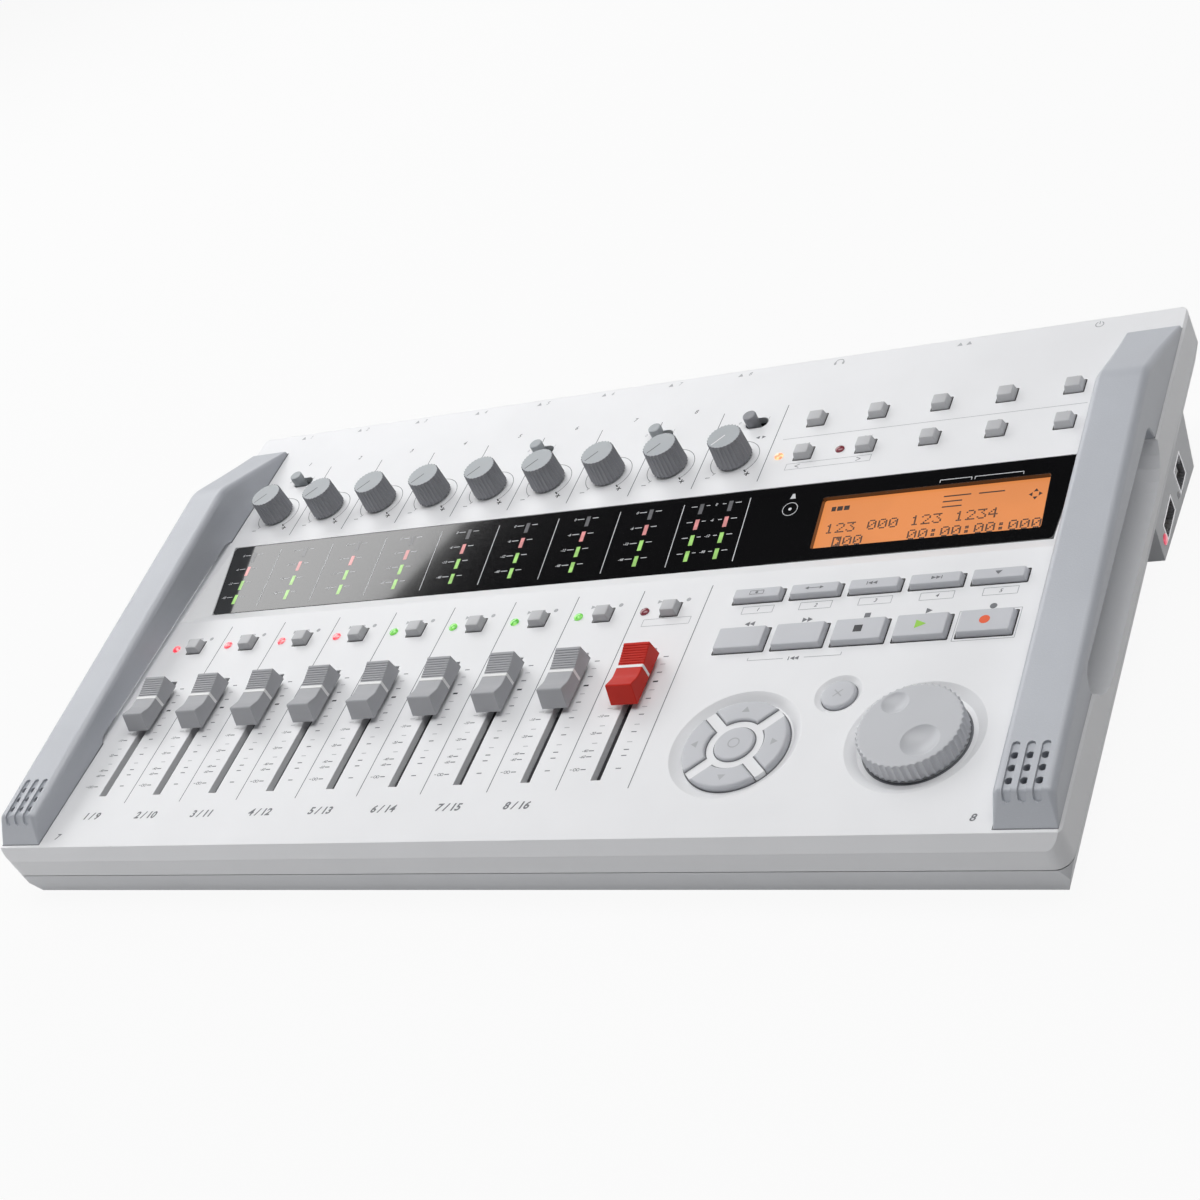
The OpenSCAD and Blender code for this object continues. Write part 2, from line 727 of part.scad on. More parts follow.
rail_drop = -atan((rail_rear_h - tail_h) / (tail_y - shoulder_y));
mic_hole_r = 0.95;
mic_slot_l = 19;
mic_slot_depth = 0.7;
mic_pocket = 6;
module rail(side) {
    color("lightsteelblue") on_table() translate([side * rail_x, 0, 0]) difference() {
        translate([0, 0, seat / 2]) intersection() {
            across(2 * rail_w) rail_side();
            mirror([side < 0 ? 1 : 0, 0, 0]) {
                intersection() {
                    rail_end(rail_front, rail_front_h, rail_rise, -over, body_d);
                    rail_end(shoulder_y, rail_rear_h, rail_drop, -body_d, rail_deep);
                }
            }
        }
        disc(0, mic_y, -over, mic_r + mic_room, mic_pocket + over);
        for (i = [-1 : 1]) {
            for (j = [-1 : 1])
                disc(i * mic_pitch, mic_y + j * mic_pitch, mic_pocket - over, mic_hole_r, rail_front_h);
            translate([i * mic_pitch, rail_front, rail_front_h]) rotate([rail_rise, 0, 0])
                box(0, mic_slot_l / 2 + front_lean, -mic_slot_depth, 2 * mic_hole_r, mic_slot_l,
                    rail_front_h);
        }
    }
}
mic_room = 1.4;

module display_window() {
    color("black") on_table() at_window() translate([0, 0, -win_t + seat / 2])
        linear_extrude(win_t - seat / 2) window_outline(seat);
}

deck = -win_t - wall;
lcd_x = right_x - lcd_side;
lcd_mid = -win_l / 2;
lcd_border = 2;
module lcd_module() {
    color("orange") on_table() at_window()
        box(lcd_x, lcd_mid, deck, lcd_w + 2 * lcd_border, lcd_d + 2 * lcd_border, wall - seat);
}

segments = 4;
segment_w = 1.6;
segment_l = 4.4;
segment_pitch = 6.4;
segment_first = -5.8;
stereo_gap = 5.4;
meter_xs = concat([for (i = [0 : master - 1]) col_x(i)],
                  [col_x(master) - stereo_gap, col_x(master) + stereo_gap]);
module meter_board() {
    color("darkgreen") on_table() at_window() {
        linear_extrude_down(deck - seat, board_t) window_outline(ledge / 2);
        for (x = meter_xs, k = [0 : segments - 1])
            box(x, segment_first - k * segment_pitch, deck - seat - over, segment_w, segment_l,
                wall - seat + over);
    }
}

module linear_extrude_down(top, t) {
    translate([0, 0, top - t]) linear_extrude(t) children();
}

// Main board with the bodies of the slide switches and the menu keys' switches
main_front = 108;
main_rear = 185.5;
main_side = 12;
slider_block = [8.6, 6.6, 7.2];
slider_stem = 2;
slider_stem_end = -8.6;
module main_board() {
    color("forestgreen") on_table() difference() {
        union() {
            box(0, (main_front + main_rear) / 2, main_board_z - board_t, body_w - 2 * main_side,
                main_rear - main_front, board_t);
            for (x = slider_x)
                box(x, slider_y, main_board_z - over, slider_block[0], slider_block[1],
                    slider_block[2] + over);
            for (i = [0 : row_keys - 1], row = [0, 1])
                box(menu_x(i), menu_y + row * menu_rows, main_board_z - over, tact_w, tact_w,
                    tact_top - menu_extra - main_board_z + over);
        }
        for (x = slider_x)
            box(x, slider_y, slider_stem_end - clear, slider_travel + slider_stem + 2 * clear,
                slider_stem + 2 * clear, slider_block[2]);
    }
}
menu_extra = 3;

// Panel board under the keys, with their switches and the dial's encoder
panel_board_front = 14;
board_left = 10;
board_right = 14;
panel_board_rear = 101;
strip_front = 84;
encoder_w = 14;
encoder_end = -8.6;
module panel_board() {
    left = min(key_x(0), pad_x - pad_r) - board_left;
    right = max(key_x(row_keys - 1), dial_x) + board_right;
    color("seagreen") on_table() difference() {
        union() {
            translate([left, panel_board_front, panel_board_z - board_t])
                cube([right - left, panel_board_rear - panel_board_front, board_t]);
            translate([col_x(0) - board_right, strip_front, panel_board_z - board_t])
                cube([left - col_x(0) + board_right + over, panel_board_rear - strip_front, board_t]);
            for (i = [0 : row_keys - 1], y = [transport_y, function_y]) tact(key_x(i), y, tact_top);
            for (i = [0 : master]) tact(col_x(i) + status_shift, status_y, tact_top);
            for (a = [0 : 90 : 270])
                tact(pad_x + pad_mid * sin(a), pad_y + pad_mid * cos(a), pad_end - stop_gap);
            tact(pad_x, pad_y, pad_end - stop_gap);
            tact(exit_x, exit_y, exit_end - stop_gap);
            box(dial_x, pad_y, panel_board_z - over, encoder_w, encoder_w,
                pad_skin - seat - panel_board_z + over);
        }
        disc(dial_x, pad_y, encoder_end - clear, shaft_r + clear, -encoder_end);
    }
}
pad_mid = (pad_r + pad_inner) / 2;

module tact(x, y, top) {
    box(x, y, panel_board_z - over, tact_w, tact_w, top - panel_board_z + over);
}

jack_side = 2 * input_r;
jack_l = 22;
jack_rim = 2;
well_depth = 12;
well_r = input_r - 1.2;
module input_jacks() {
    color("dimgray") on_table() for (i = [0 : inputs - 1]) difference() {
        union() {
            translate([input_x(i), body_d - wall - seat - jack_l / 2, -socket_z - jack_side / 2])
                box(0, 0, 0, jack_side + 2 * jack_rim, jack_l, jack_side);
            rear_rod(input_x(i), input_r, body_d - wall - seat - over, body_d + over);
        }
        rear_rod(input_x(i), well_r, body_d + over - well_depth, body_d + 2 * over);
        rear_rod(input_x(i), plug_r, body_d - jack_l, body_d + over);
    }
}

output_body = 12;
output_l = 20;
plug_depth = 15;
module output_jacks() {
    color("dimgray") on_table() for (x = concat(output_x, [phones_x])) difference() {
        union() {
            translate([x, body_d - wall - seat - output_l / 2, -socket_z - output_body / 2])
                box(0, 0, 0, output_body, output_l, output_body);
            rear_rod(x, output_nose, body_d - wall - seat - over, body_d + over);
        }
        rear_rod(x, plug_r, body_d + over - plug_depth, body_d + 2 * over);
    }
}

inlet_r = 2.9;
inlet_depth = 9;
inlet_pin = 1;
inlet_l = 14;
inlet_rim = 1;
power_l = 9;
power_rim = 2;
module power_inlet() {
    color("black") on_table() {
        difference() {
            union() {
                translate([inlet_x, body_d - wall - seat - inlet_l / 2, -socket_z - output_body / 2])
                    box(0, 0, 0, 2 * inlet_nose + inlet_rim, inlet_l, output_body);
                rear_rod(inlet_x, inlet_nose, body_d - wall - seat - over, body_d + seat);
            }
            difference() {
                rear_rod(inlet_x, inlet_r, body_d - inlet_depth, body_d + over);
                rear_rod(inlet_x, inlet_pin, body_d - inlet_depth - over, body_d - over);
            }
        }
        difference() {
            translate([power_x, body_d - wall - seat - power_l / 2, -socket_z - output_body / 2])
                box(0, 0, 0, power_w + power_travel + 2 * power_rim, power_l, output_body);
            translate([power_x, body_d - wall, -socket_z - power_h / 2 - clear])
                box(0, 0, 0, power_w + power_travel + 2 * clear, power_l, power_h + 2 * clear);
        }
    }
}

module data_sockets() {
    color("silver") on_table() {
        for (p = data_ports) translate([right_x - pod_inset - p[3] - data_wall, p[0], -data_z])
            difference() {
                translate([0, -p[1] / 2 - data_wall, -p[2] / 2 - data_wall])
                    cube([p[3] + data_wall, p[1] + 2 * data_wall, p[2] + 2 * data_wall]);
                translate([data_wall, -p[1] / 2, -p[2] / 2]) cube([p[3] + over, p[1], p[2]]);
            }
        translate([left_x + pod_inset, card[0], -data_z]) difference() {
            translate([0, -card[1] / 2, -card[2] / 2]) cube([card[3], card[1], card[2]]);
            translate([-over, -card_open[0] / 2, -card_open[1] / 2])
                cube([card[3], card_open[0], card_open[1]]);
        }
    }
}

module fader_units() {
    color("gray") on_table() for (i = [0 : master]) difference() {
        box(col_x(i), slot_mid, fader_top - fader_h, fader_w, slot_l + 4, fader_h);
        box(col_x(i), slot_mid, fader_top - fader_h + fader_wall, slot_w, slot_l, fader_h);
    }
}

pot_w = 10;
pot_bottom = main_board_z + seat;
shaft_end = -10.4;
module level_pots() {
    color("royalblue") on_table() {
        for (i = [0 : master]) difference() {
            box(col_x(i), knob_y, pot_bottom, pot_w, pot_w + 1, skin - 2 * seat - pot_bottom);
            disc(col_x(i), knob_y, shaft_end - clear, shaft_r + clear, -shaft_end);
        }
        difference() {
            translate([phones_knob_x, body_d - wall - seat - pot_w / 2, -socket_z - output_body / 2])
                box(0, 0, 0, output_body, pot_w, output_body);
            rear_rod(phones_knob_x, shaft_r + clear, body_d - wall - pot_w + over, body_d);
        }
    }
}

lamp_end = -6;
lamp_top = 0.5;
module lamp(x, y) {
    disc(x, y, lamp_end, lamp_r, lamp_top - lamp_end - lamp_r / 2);
    translate([x, y, lamp_top - lamp_r]) sphere(lamp_r);
    disc(x, y, lamp_end, lamp_r + 0.5, -lamp_end + skin - seat);
}

module indicator_lamps() {
    color("red") on_table() {
        for (i = [0 : master]) lamp(col_x(i) + lamp_shift, status_y);
        for (i = [0, 1]) lamp(menu_x(i) + bank_lamp_shift, menu_y);
        translate([right_x - pod_inset - wall - over, access_y, -access_z]) rotate([0, 90, 0])
            cylinder(r = lamp_r, h = wall + over + seat);
    }
}

mic_h = 5.4;
module mic_capsules() {
    color("silver") on_table() for (side = [-1, 1]) disc(side * rail_x, mic_y, seat, mic_r, mic_h);
}

foot_xs = [left_x + foot_side, right_x - foot_side];
module rubber_feet() {
    color("dimgray") {
        difference() {
            for (x = foot_xs) disc(x, table_y(foot_y, under) - mid_y, 0, foot_r, 3 * foot_h);
            on_table() translate([0, 0, under - seat / 2]) box(0, foot_y, 0, body_w, 4 * foot_r, 5 * foot_h);
        }
        for (x = foot_xs) disc(x, cell_mid - mid_y, 0, foot_r, foot_h - seat / 2);
    }
}

module case_screws() {
    color("black") on_table() each_post() {
        translate([0, 0, under + seat / 2]) cylinder(r = screw_head_r, h = screw_head_h);
        translate([0, 0, under + screw_head_h]) cylinder(r = screw_r, h = screw_tip - under - screw_head_h);
    }
}

// Side view of a fader cap: a foot that flares to the front, a hollow front half and a sloping rear half
module cap_side() {
    front = -cap_l / 2 - 0.9;
    rear = cap_l / 2 - 0.9;
    polygon(rounded([[front, cap_under, 0.5], [rear, cap_under, 0.5], [rear - 1.3, cap_h - 0.2, 0.6],
                     [0.8, cap_h - cap_dip, 0], [-0.8, cap_h - cap_dip, 0], [-4, cap_h - cap_dip, 4],
                     [front + cap_lean, cap_h, 0.5]]));
}

module fader_cap(i, paint) {
    color(paint) on_table() translate([col_x(i), cap_y, 0]) {
        across(cap_w) cap_side();
        box(0, 0, lever_end, lever_w, lever_l, cap_under - lever_end + over);
    }
}

flutes = 30;
flute_depth = 0.3;
knob_under = 0.6;
knob_bevel = 0.5;
knob_top_r = knob_r - flute_depth - knob_bevel;
function fluted(r, n, depth) =
    [for (k = [0 : 2 * n - 1]) (r - (k % 2) * depth) * [cos(180 * k / n), sin(180 * k / n)]];
module knob(i, paint) {
    color(paint) on_table() translate([col_x(i), knob_y, 0]) {
        difference() {
            union() {
                translate([0, 0, knob_under]) linear_extrude(knob_h - knob_bevel - knob_under)
                    polygon(fluted(knob_r, flutes, flute_depth));
                translate([0, 0, knob_h - knob_bevel])
                    cylinder(r1 = knob_top_r + knob_bevel / 2, r2 = knob_top_r, h = knob_bevel);
            }
            rotate(knob_turn) translate([0, knob_r / 2, knob_h - knob_bevel / 2])
                box(0, 0, 0, knob_bevel, knob_r, knob_bevel);
        }
        translate([0, 0, shaft_end]) cylinder(r = shaft_r, h = knob_under - shaft_end + over);
    }
}

dial_flutes = 48;
dial_flute_depth = 0.5;
dimple_line = 128;
small_dimple = 0.72;
module jog_dial() {
    bottom = -dish_depth + clear;
    ball = (dimple_r * dimple_r + dimple_depth * dimple_depth) / (2 * dimple_depth);
    color("lightgray") on_table() translate([dial_x, pad_y, 0]) {
        difference() {
            translate([0, 0, bottom]) linear_extrude(dial_h - bottom)
                polygon(fluted(dial_r, dial_flutes, dial_flute_depth));
            rotate(dimple_line) translate([-dial_r / 2, 0, dial_h - dimple_depth + ball]) sphere(ball);
            rotate(dimple_line) translate([dial_r * 0.66, 0, dial_h + small_dimple * (ball - dimple_depth)])
                sphere(small_dimple * ball);
        }
        translate([0, 0, encoder_end]) cylinder(r = shaft_r, h = bottom - encoder_end + over);
    }
}

module cursor_key(turn) {
    color("silver") on_table() translate([pad_x, pad_y, 0]) rotate(turn) {
        translate([0, 0, pad_skin - seat]) linear_extrude(pad_h - pad_skin + seat) sector(0);
        translate([0, 0, pad_skin - seat - round_flange]) linear_extrude(round_flange) sector(round_flange);
        disc(0, pad_mid, pad_end, plunger_r, round_plunger + over / 2);
    }
}

module round_key(x, y, r, top, ring, end) {
    color("silver") on_table() {
        disc(x, y, ring - seat, r, top - ring + seat - key_draft);
        translate([x, y, top - key_draft]) cylinder(r1 = r, r2 = r - key_draft, h = key_draft);
        disc(x, y, ring - seat - round_flange, r + round_flange, round_flange);
        disc(x, y, end, plunger_r, round_plunger + over / 2);
    }
}

module transport_key(i) {
    color("silver") on_table() key(key_x(i), transport_y, key_w, transport_d, key_h);
}

module function_keys() {
    color("silver") on_table()
        for (i = [0 : row_keys - 1]) key(key_x(i), function_y, key_w, function_d, key_h);
}

module status_keys() {
    color("silver") on_table()
        for (i = [0 : master]) key(col_x(i) + status_shift, status_y, small_w, small_d, small_h);
}

module menu_keys() {
    color("silver") on_table() for (i = [0 : row_keys - 1], row = [0, 1]) {
        key(menu_x(i), menu_y + row * menu_rows, small_w, small_d, small_h);
        disc(menu_x(i), menu_y + row * menu_rows, key_end - menu_extra, plunger_r, menu_extra + over / 2);
    }
}

slider_h = 4;
module slide_switch(k) {
    color("silver") on_table() translate([slider_x[k] - slider_travel / 2, slider_y, 0]) {
        translate([0, 0, skin]) cylinder(r = slider_r, h = slider_h - skin);
        box(0, 0, slider_stem_end, slider_stem, slider_stem, -slider_stem_end);
    }
}

power_out = 3;
power_in = 6;
module power_switch() {
    mid = body_d + (power_out - power_in) / 2;
    color("black") on_table()
        box(power_x - power_travel / 2, mid, -socket_z - power_h / 2, power_w, power_out + power_in,
            power_h);
}

phones_gap = 0.6;
module phones_knob() {
    color("silver") on_table() {
        translate([phones_knob_x, body_d + phones_out, -socket_z]) rotate([90, 0, 0])
            linear_extrude(phones_out - phones_gap) polygon(fluted(phones_r, flutes, flute_depth));
        rear_rod(phones_knob_x, shaft_r, body_d - wall - pot_w + over + clear, body_d + over);
    }
}

module battery_cover() {
    color("gainsboro") translate([0, -mid_y, 0]) {
        mid = (cover_front + pod_rear) / 2;
        box(0, mid, foot_h, cover_w, pod_rear - cover_front, cover_t);
        box(0, mid, foot_h + cover_t / 2, cover_w + 2 * tongue, pod_rear - cover_front, cover_t / 2);
    }
}

transport_names = ["rewind_key", "forward_key", "stop_key", "play_key", "record_key"];
cursor_names = ["cursor_up", "cursor_left", "cursor_down", "cursor_right"];
slider_names = ["hi_z_switch", "phantom_switch_1", "phantom_switch_2", "monitor_switch"];

top_case();
bottom_case();
rear_panel();
rail(-1);  // left_rail
rail(1);  // right_rail
display_window();
lcd_module();
meter_board();
main_board();
panel_board();
input_jacks();
output_jacks();
power_inlet();
data_sockets();
fader_units();
level_pots();
indicator_lamps();
mic_capsules();
rubber_feet();
case_screws();
for (i = [1 : master]) fader_cap(i - 1, "silver");
fader_cap(master, "firebrick");  // master_fader_cap
for (i = [1 : master]) knob(i - 1, "gray");
knob(master, "dimgray");  // balance_knob
jog_dial();
for (k = [0 : 3]) cursor_key(90 * k);
round_key(pad_x, pad_y, enter_r, pad_h, pad_skin, pad_end);  // enter_key
round_key(exit_x, exit_y, exit_r, pad_h, exit_skin, exit_end);  // exit_key
for (i = [0 : row_keys - 1]) transport_key(i);
function_keys();
status_keys();
menu_keys();
for (k = [0 : 3]) slide_switch(k);
power_switch();
phones_knob();
battery_cover();
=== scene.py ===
import bpy
import bmesh
import json
import math
from mathutils import Matrix, Vector


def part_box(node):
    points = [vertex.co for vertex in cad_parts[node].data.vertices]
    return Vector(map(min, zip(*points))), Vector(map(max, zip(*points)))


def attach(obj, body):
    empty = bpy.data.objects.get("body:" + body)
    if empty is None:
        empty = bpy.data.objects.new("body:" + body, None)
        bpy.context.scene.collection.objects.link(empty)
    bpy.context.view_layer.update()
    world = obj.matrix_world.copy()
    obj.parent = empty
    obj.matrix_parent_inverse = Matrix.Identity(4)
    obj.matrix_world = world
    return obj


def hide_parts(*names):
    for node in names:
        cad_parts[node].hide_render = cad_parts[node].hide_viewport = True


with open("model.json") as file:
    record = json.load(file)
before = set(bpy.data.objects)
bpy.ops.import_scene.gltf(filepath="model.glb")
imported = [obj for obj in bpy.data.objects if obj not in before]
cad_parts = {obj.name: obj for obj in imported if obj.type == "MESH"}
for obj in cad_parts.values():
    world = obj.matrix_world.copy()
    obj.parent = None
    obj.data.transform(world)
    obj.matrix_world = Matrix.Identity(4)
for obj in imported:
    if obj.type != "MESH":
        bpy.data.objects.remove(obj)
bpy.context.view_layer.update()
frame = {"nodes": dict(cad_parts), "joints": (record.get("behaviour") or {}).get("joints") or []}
nodes = frame["nodes"]
scene = bpy.context.scene

# the panel's own frame in millimetres: x from the middle, y from the front edge, z up from the white surface
mm = 0.001
dialSpot = Vector((140.3, 34.5, 4.7))
dialJoint = [j for j in frame["joints"] if j["name"] == "jog_dial_turn"][0]
panelUp = Vector(dialJoint["axis"]).normalized()
panelSide = Vector((1, 0, 0))
panelTurn = Matrix((panelSide, panelUp.cross(panelSide), panelUp)).transposed()
panelShift = Vector(dialJoint["pos_m"]) - panelTurn @ dialSpot * mm
panelFrame = Matrix.Translation(panelShift) @ panelTurn.to_4x4() @ Matrix.Scale(mm, 4)
tableFrame = Matrix.Scale(mm, 4)
channelPitch = 24.67
columns = [-154.1 + channelPitch * i for i in range(9)]
masterX = columns[8]


# camera at the photograph's angle
shot = {"spot": (368.6, -326.7, 388.2), "aim": (14.97, 99.66, 0), "roll": 30.31, "lens": 63.23}
camData = bpy.data.cameras.new("photoCamera")
camData.lens = shot["lens"]
camData.sensor_fit = "HORIZONTAL"
camData.sensor_width = 36
camData.clip_start = 0.01
camData.clip_end = 20
camera = bpy.data.objects.new("photoCamera", camData)
scene.collection.objects.link(camera)
camFrom = Vector(shot["spot"])
camBack = (camFrom - Vector(shot["aim"])).normalized()
camUp = (Vector((0, 0, 1)) - camBack * camBack.z).normalized()
camRight = camUp.cross(camBack)
roll = math.radians(shot["roll"])
rolledUp = camUp * math.cos(roll) + camRight * math.sin(roll)
camTurn = panelTurn @ Matrix((rolledUp.cross(camBack), rolledUp, camBack)).transposed()
camera.matrix_world = Matrix.Translation(panelFrame @ camFrom) @ camTurn.to_4x4()
scene.camera = camera
scene.view_settings.view_transform = "Standard"
print("camera placed")


# studio: pale floor, a soft box behind on the left that the window mirrors, a wide one overhead, a low fill in front
def areaLamp(name, spot, back, along, wide, tall, power):
    data = bpy.data.lights.new(name, "AREA")
    data.shape = "RECTANGLE"
    data.size = wide * mm
    data.size_y = tall * mm
    data.energy = power
    lamp = bpy.data.objects.new(name, data)
    scene.collection.objects.link(lamp)
    away = (panelTurn @ Vector(back)).normalized()
    side = panelTurn @ Vector(along)
    side = (side - away * side.dot(away)).normalized()
    turn = Matrix((side, away.cross(side), away)).transposed()
    lamp.matrix_world = Matrix.Translation(panelFrame @ Vector(spot)) @ turn.to_4x4()


studio = {
    "rear": {"spot": (-917, 782, 594), "back": (-0.62, 0.44, 0.655), "along": (0.57, 0.82, 0.057),
             "wide": 1400, "tall": 560, "power": 7.8},
    "top": {"spot": (200, 400, 1250), "back": (0.12, 0.2, 1), "along": (1, 0, 0),
            "wide": 1700, "tall": 700, "power": 14.6},
    "front": {"spot": (-420, -880, 190), "back": (-0.4, -0.9, 0.12), "along": (0.91, -0.41, 0),
              "wide": 1400, "tall": 330, "power": 2.5}}
for lampName, lampValues in studio.items():
    areaLamp(lampName + "Lamp", **lampValues)


# shader helpers: an underscore in a socket's name stands for a space, and a socket given as a value is linked
def nodeTree(name):
    mat = bpy.data.materials.new(name)
    mat.use_nodes = True
    mat.node_tree.nodes.clear()
    return mat, mat.node_tree


def node(tree, kind, mode=None, ins=(), **named):
    made = tree.nodes.new(kind)
    if mode:
        setattr(made, "data_type" if kind == "ShaderNodeMix" else "operation", mode)
    values = list(enumerate(ins)) + [(key.replace("_", " "), value) for key, value in named.items()]
    for key, value in values:
        if isinstance(value, bpy.types.NodeSocket):
            tree.links.new(value, made.inputs[key])
        else:
            made.inputs[key].default_value = value
    return made.outputs


def joinPaths(tree, operation, a, b):
    return node(tree, "ShaderNodeMath", operation, (a, b))[0]


def spread(tree, value, **ends):
    return node(tree, "ShaderNodeMapRange", Value=value, **ends)[0]


def blend(tree, factor, a, b):
    return node(tree, "ShaderNodeMix", "RGBA", Factor=factor, A=a, B=b)["Result"]


def tint(colour, factor=1.0, lift=0.0):
    return tuple(min(1, c * factor + lift) for c in colour) + (1,)


# the room is brightest in front on the left and darkest behind on the right
# gloss sees the white backdrop near the horizon, and the dark ceiling above it
roomSet = {"low": (0.05, (0.42, 0.425, 0.44)), "high": (0.62, (0.04, 0.04, 0.042)), "lean": (0.78, 0.62, 0)}
world = bpy.data.worlds.new("studioWorld")
scene.world = world
world.use_nodes = True
sky = world.node_tree
sky.nodes.clear()
wPath = node(sky, "ShaderNodeLightPath")
wWay = node(sky, "ShaderNodeTexCoord")["Generated"]
wUp = node(sky, "ShaderNodeSeparateXYZ", ins=(wWay,))["Z"]
wRamp = node(sky, "ShaderNodeValToRGB", ins=(wUp,))[0]
for stop, end in zip(wRamp.node.color_ramp.elements, ("low", "high")):
    stop.position = roomSet[end][0]
    stop.color = tint(roomSet[end][1])
wLean = node(sky, "ShaderNodeVectorMath", "DOT_PRODUCT", (wWay, roomSet["lean"]))["Value"]
wSide = spread(sky, wLean, From_Min=-1, To_Min=1.45, To_Max=0.05)
wRoom = node(sky, "ShaderNodeBackground", Color=wRamp, Strength=wSide)[0]
wWhite = node(sky, "ShaderNodeBackground", Color=(1, 1, 1, 1))[0]
wGloss = joinPaths(sky, "MULTIPLY", wPath["Is Glossy Ray"], spread(sky, wUp, From_Min=0.35, From_Max=0.15))
wSeen = joinPaths(sky, "MAXIMUM", wPath["Is Camera Ray"], wPath["Is Transmission Ray"])
wMix = node(sky, "ShaderNodeMixShader", ins=(joinPaths(sky, "MAXIMUM", wSeen, wGloss), wRoom, wWhite))[0]
node(sky, "ShaderNodeOutputWorld", Surface=wMix)

floorSet = {"grey": (0.52, 0.52, 0.52), "seen": 0.93, "half": 4}
floorMat, floorTree = nodeTree("paleFloor")
fPath = node(floorTree, "ShaderNodeLightPath")
fSeen = joinPaths(floorTree, "MAXIMUM", fPath["Is Camera Ray"], fPath["Is Transmission Ray"])
fSeen = joinPaths(floorTree, "MAXIMUM", fSeen, fPath["Is Glossy Ray"])
fShare = joinPaths(floorTree, "MULTIPLY", fSeen, floorSet["seen"])
fGrey = node(floorTree, "ShaderNodeBsdfDiffuse", Color=tint(floorSet["grey"]))[0]
fGlow = node(floorTree, "ShaderNodeEmission", Color=(1, 1, 1, 1))[0]
fMix = node(floorTree, "ShaderNodeMixShader", ins=(fShare, fGrey, fGlow))[0]
node(floorTree, "ShaderNodeOutputMaterial", Surface=fMix)
floorMesh = bpy.data.meshes.new("studioFloor")
far = floorSet["half"]
floorMesh.from_pydata([(-far, -far, 0), (far, -far, 0), (far, far, 0), (-far, far, 0)], [], [(0, 1, 2, 3)])
studioFloor = bpy.data.objects.new("studioFloor", floorMesh)
studioFloor.data.materials.append(floorMat)
scene.collection.objects.link(studioFloor)
print("studio ready")


# finishes: every plastic has a moulded grain, a slow tone drift, soft edges, and a lighter colour along the edges that
# is partly wear and partly a painted highlight
def plastic(name, colour, rough, grain, bump, drift, edge, wearAndHighlight, coat=0.0, speckle=0.0, gloss=0.5):
    mat, tree = nodeTree(name)
    coord = node(tree, "ShaderNodeTexCoord")["Object"]
    fine = node(tree, "ShaderNodeTexNoise", Vector=coord, Scale=1000 / grain, Detail=3)["Fac"]
    slow = node(tree, "ShaderNodeTexNoise", Vector=coord, Scale=38, Detail=2)["Fac"]
    soft = node(tree, "ShaderNodeBevel", Radius=edge * mm)[0]
    soft.node.samples = 6
    flat = node(tree, "ShaderNodeNewGeometry")["True Normal"]
    same = node(tree, "ShaderNodeVectorMath", "DOT_PRODUCT", (soft, flat))["Value"]
    # edges lightened in colour, partly as wear and partly as a painted highlight
    rim = spread(tree, same, From_Min=1.0, From_Max=0.72, To_Max=wearAndHighlight)
    tone = spread(tree, slow, From_Min=0.3, From_Max=0.7)
    shade = blend(tree, tone, tint(colour, 1 - drift), tint(colour, 1 + drift))
    shade = blend(tree, rim, shade, tint(colour, 1.25, 0.05))
    if speckle:
        dots = node(tree, "ShaderNodeTexVoronoi", Vector=coord, Scale=2000)["Distance"]
        flake = spread(tree, dots, From_Min=0.25, From_Max=0.05, To_Max=speckle)
        shade = blend(tree, flake, shade, tint(colour, 1.5))
    sheen = spread(tree, fine, To_Min=max(0.02, rough - 0.07), To_Max=min(1, rough + 0.07))
    relief = node(tree, "ShaderNodeBump", Strength=bump, Distance=grain * 0.0004, Height=fine, Normal=soft)[0]
    body = node(tree, "ShaderNodeBsdfPrincipled", Base_Color=shade, Roughness=sheen, Normal=relief,
                Specular_IOR_Level=gloss, Coat_Weight=coat, Coat_Roughness=0.04)[0]
    node(tree, "ShaderNodeOutputMaterial", Surface=body)
    return mat


def glowing(name, colour, strength, patch, base=(0.02, 0.02, 0.02), drop=0.25, deep=None):
    mat, tree = nodeTree(name)
    coord = node(tree, "ShaderNodeTexCoord")["Object"]
    cloud = node(tree, "ShaderNodeTexNoise", Vector=coord, Scale=patch)["Fac"]
    # patches in the glow: random tone on the display and the meter segments, painted highlights on the lamp domes
    toneAndGlint = spread(tree, cloud, From_Min=0.36, From_Max=0.64)
    tone = blend(tree, toneAndGlint, tint(deep) if deep else tint(colour, 1 - drop), tint(colour))
    body = node(tree, "ShaderNodeBsdfPrincipled", Base_Color=tint(base), Roughness=0.2, Coat_Weight=0.6,
                Coat_Roughness=0.05, Emission_Color=tone, Emission_Strength=strength)[0]
    node(tree, "ShaderNodeOutputMaterial", Surface=body)
    return mat


def metal(name, colour, rough, stretch=(1, 1, 1)):
    mat, tree = nodeTree(name)
    coord = node(tree, "ShaderNodeTexCoord")["Object"]
    lay = node(tree, "ShaderNodeMapping", Vector=coord, Scale=stretch)[0]
    lines = node(tree, "ShaderNodeTexNoise", Vector=lay, Scale=1800, Detail=4)["Fac"]
    tone = blend(tree, lines, tint(colour, 0.85), tint(colour))
    sheen = spread(tree, lines, To_Min=rough * 0.7, To_Max=rough * 1.3)
    relief = node(tree, "ShaderNodeBump", Strength=0.08, Distance=0.0001, Height=lines)[0]
    body = node(tree, "ShaderNodeBsdfPrincipled", Metallic=1, Base_Color=tone, Roughness=sheen, Normal=relief)[0]
    node(tree, "ShaderNodeOutputMaterial", Surface=body)
    return mat
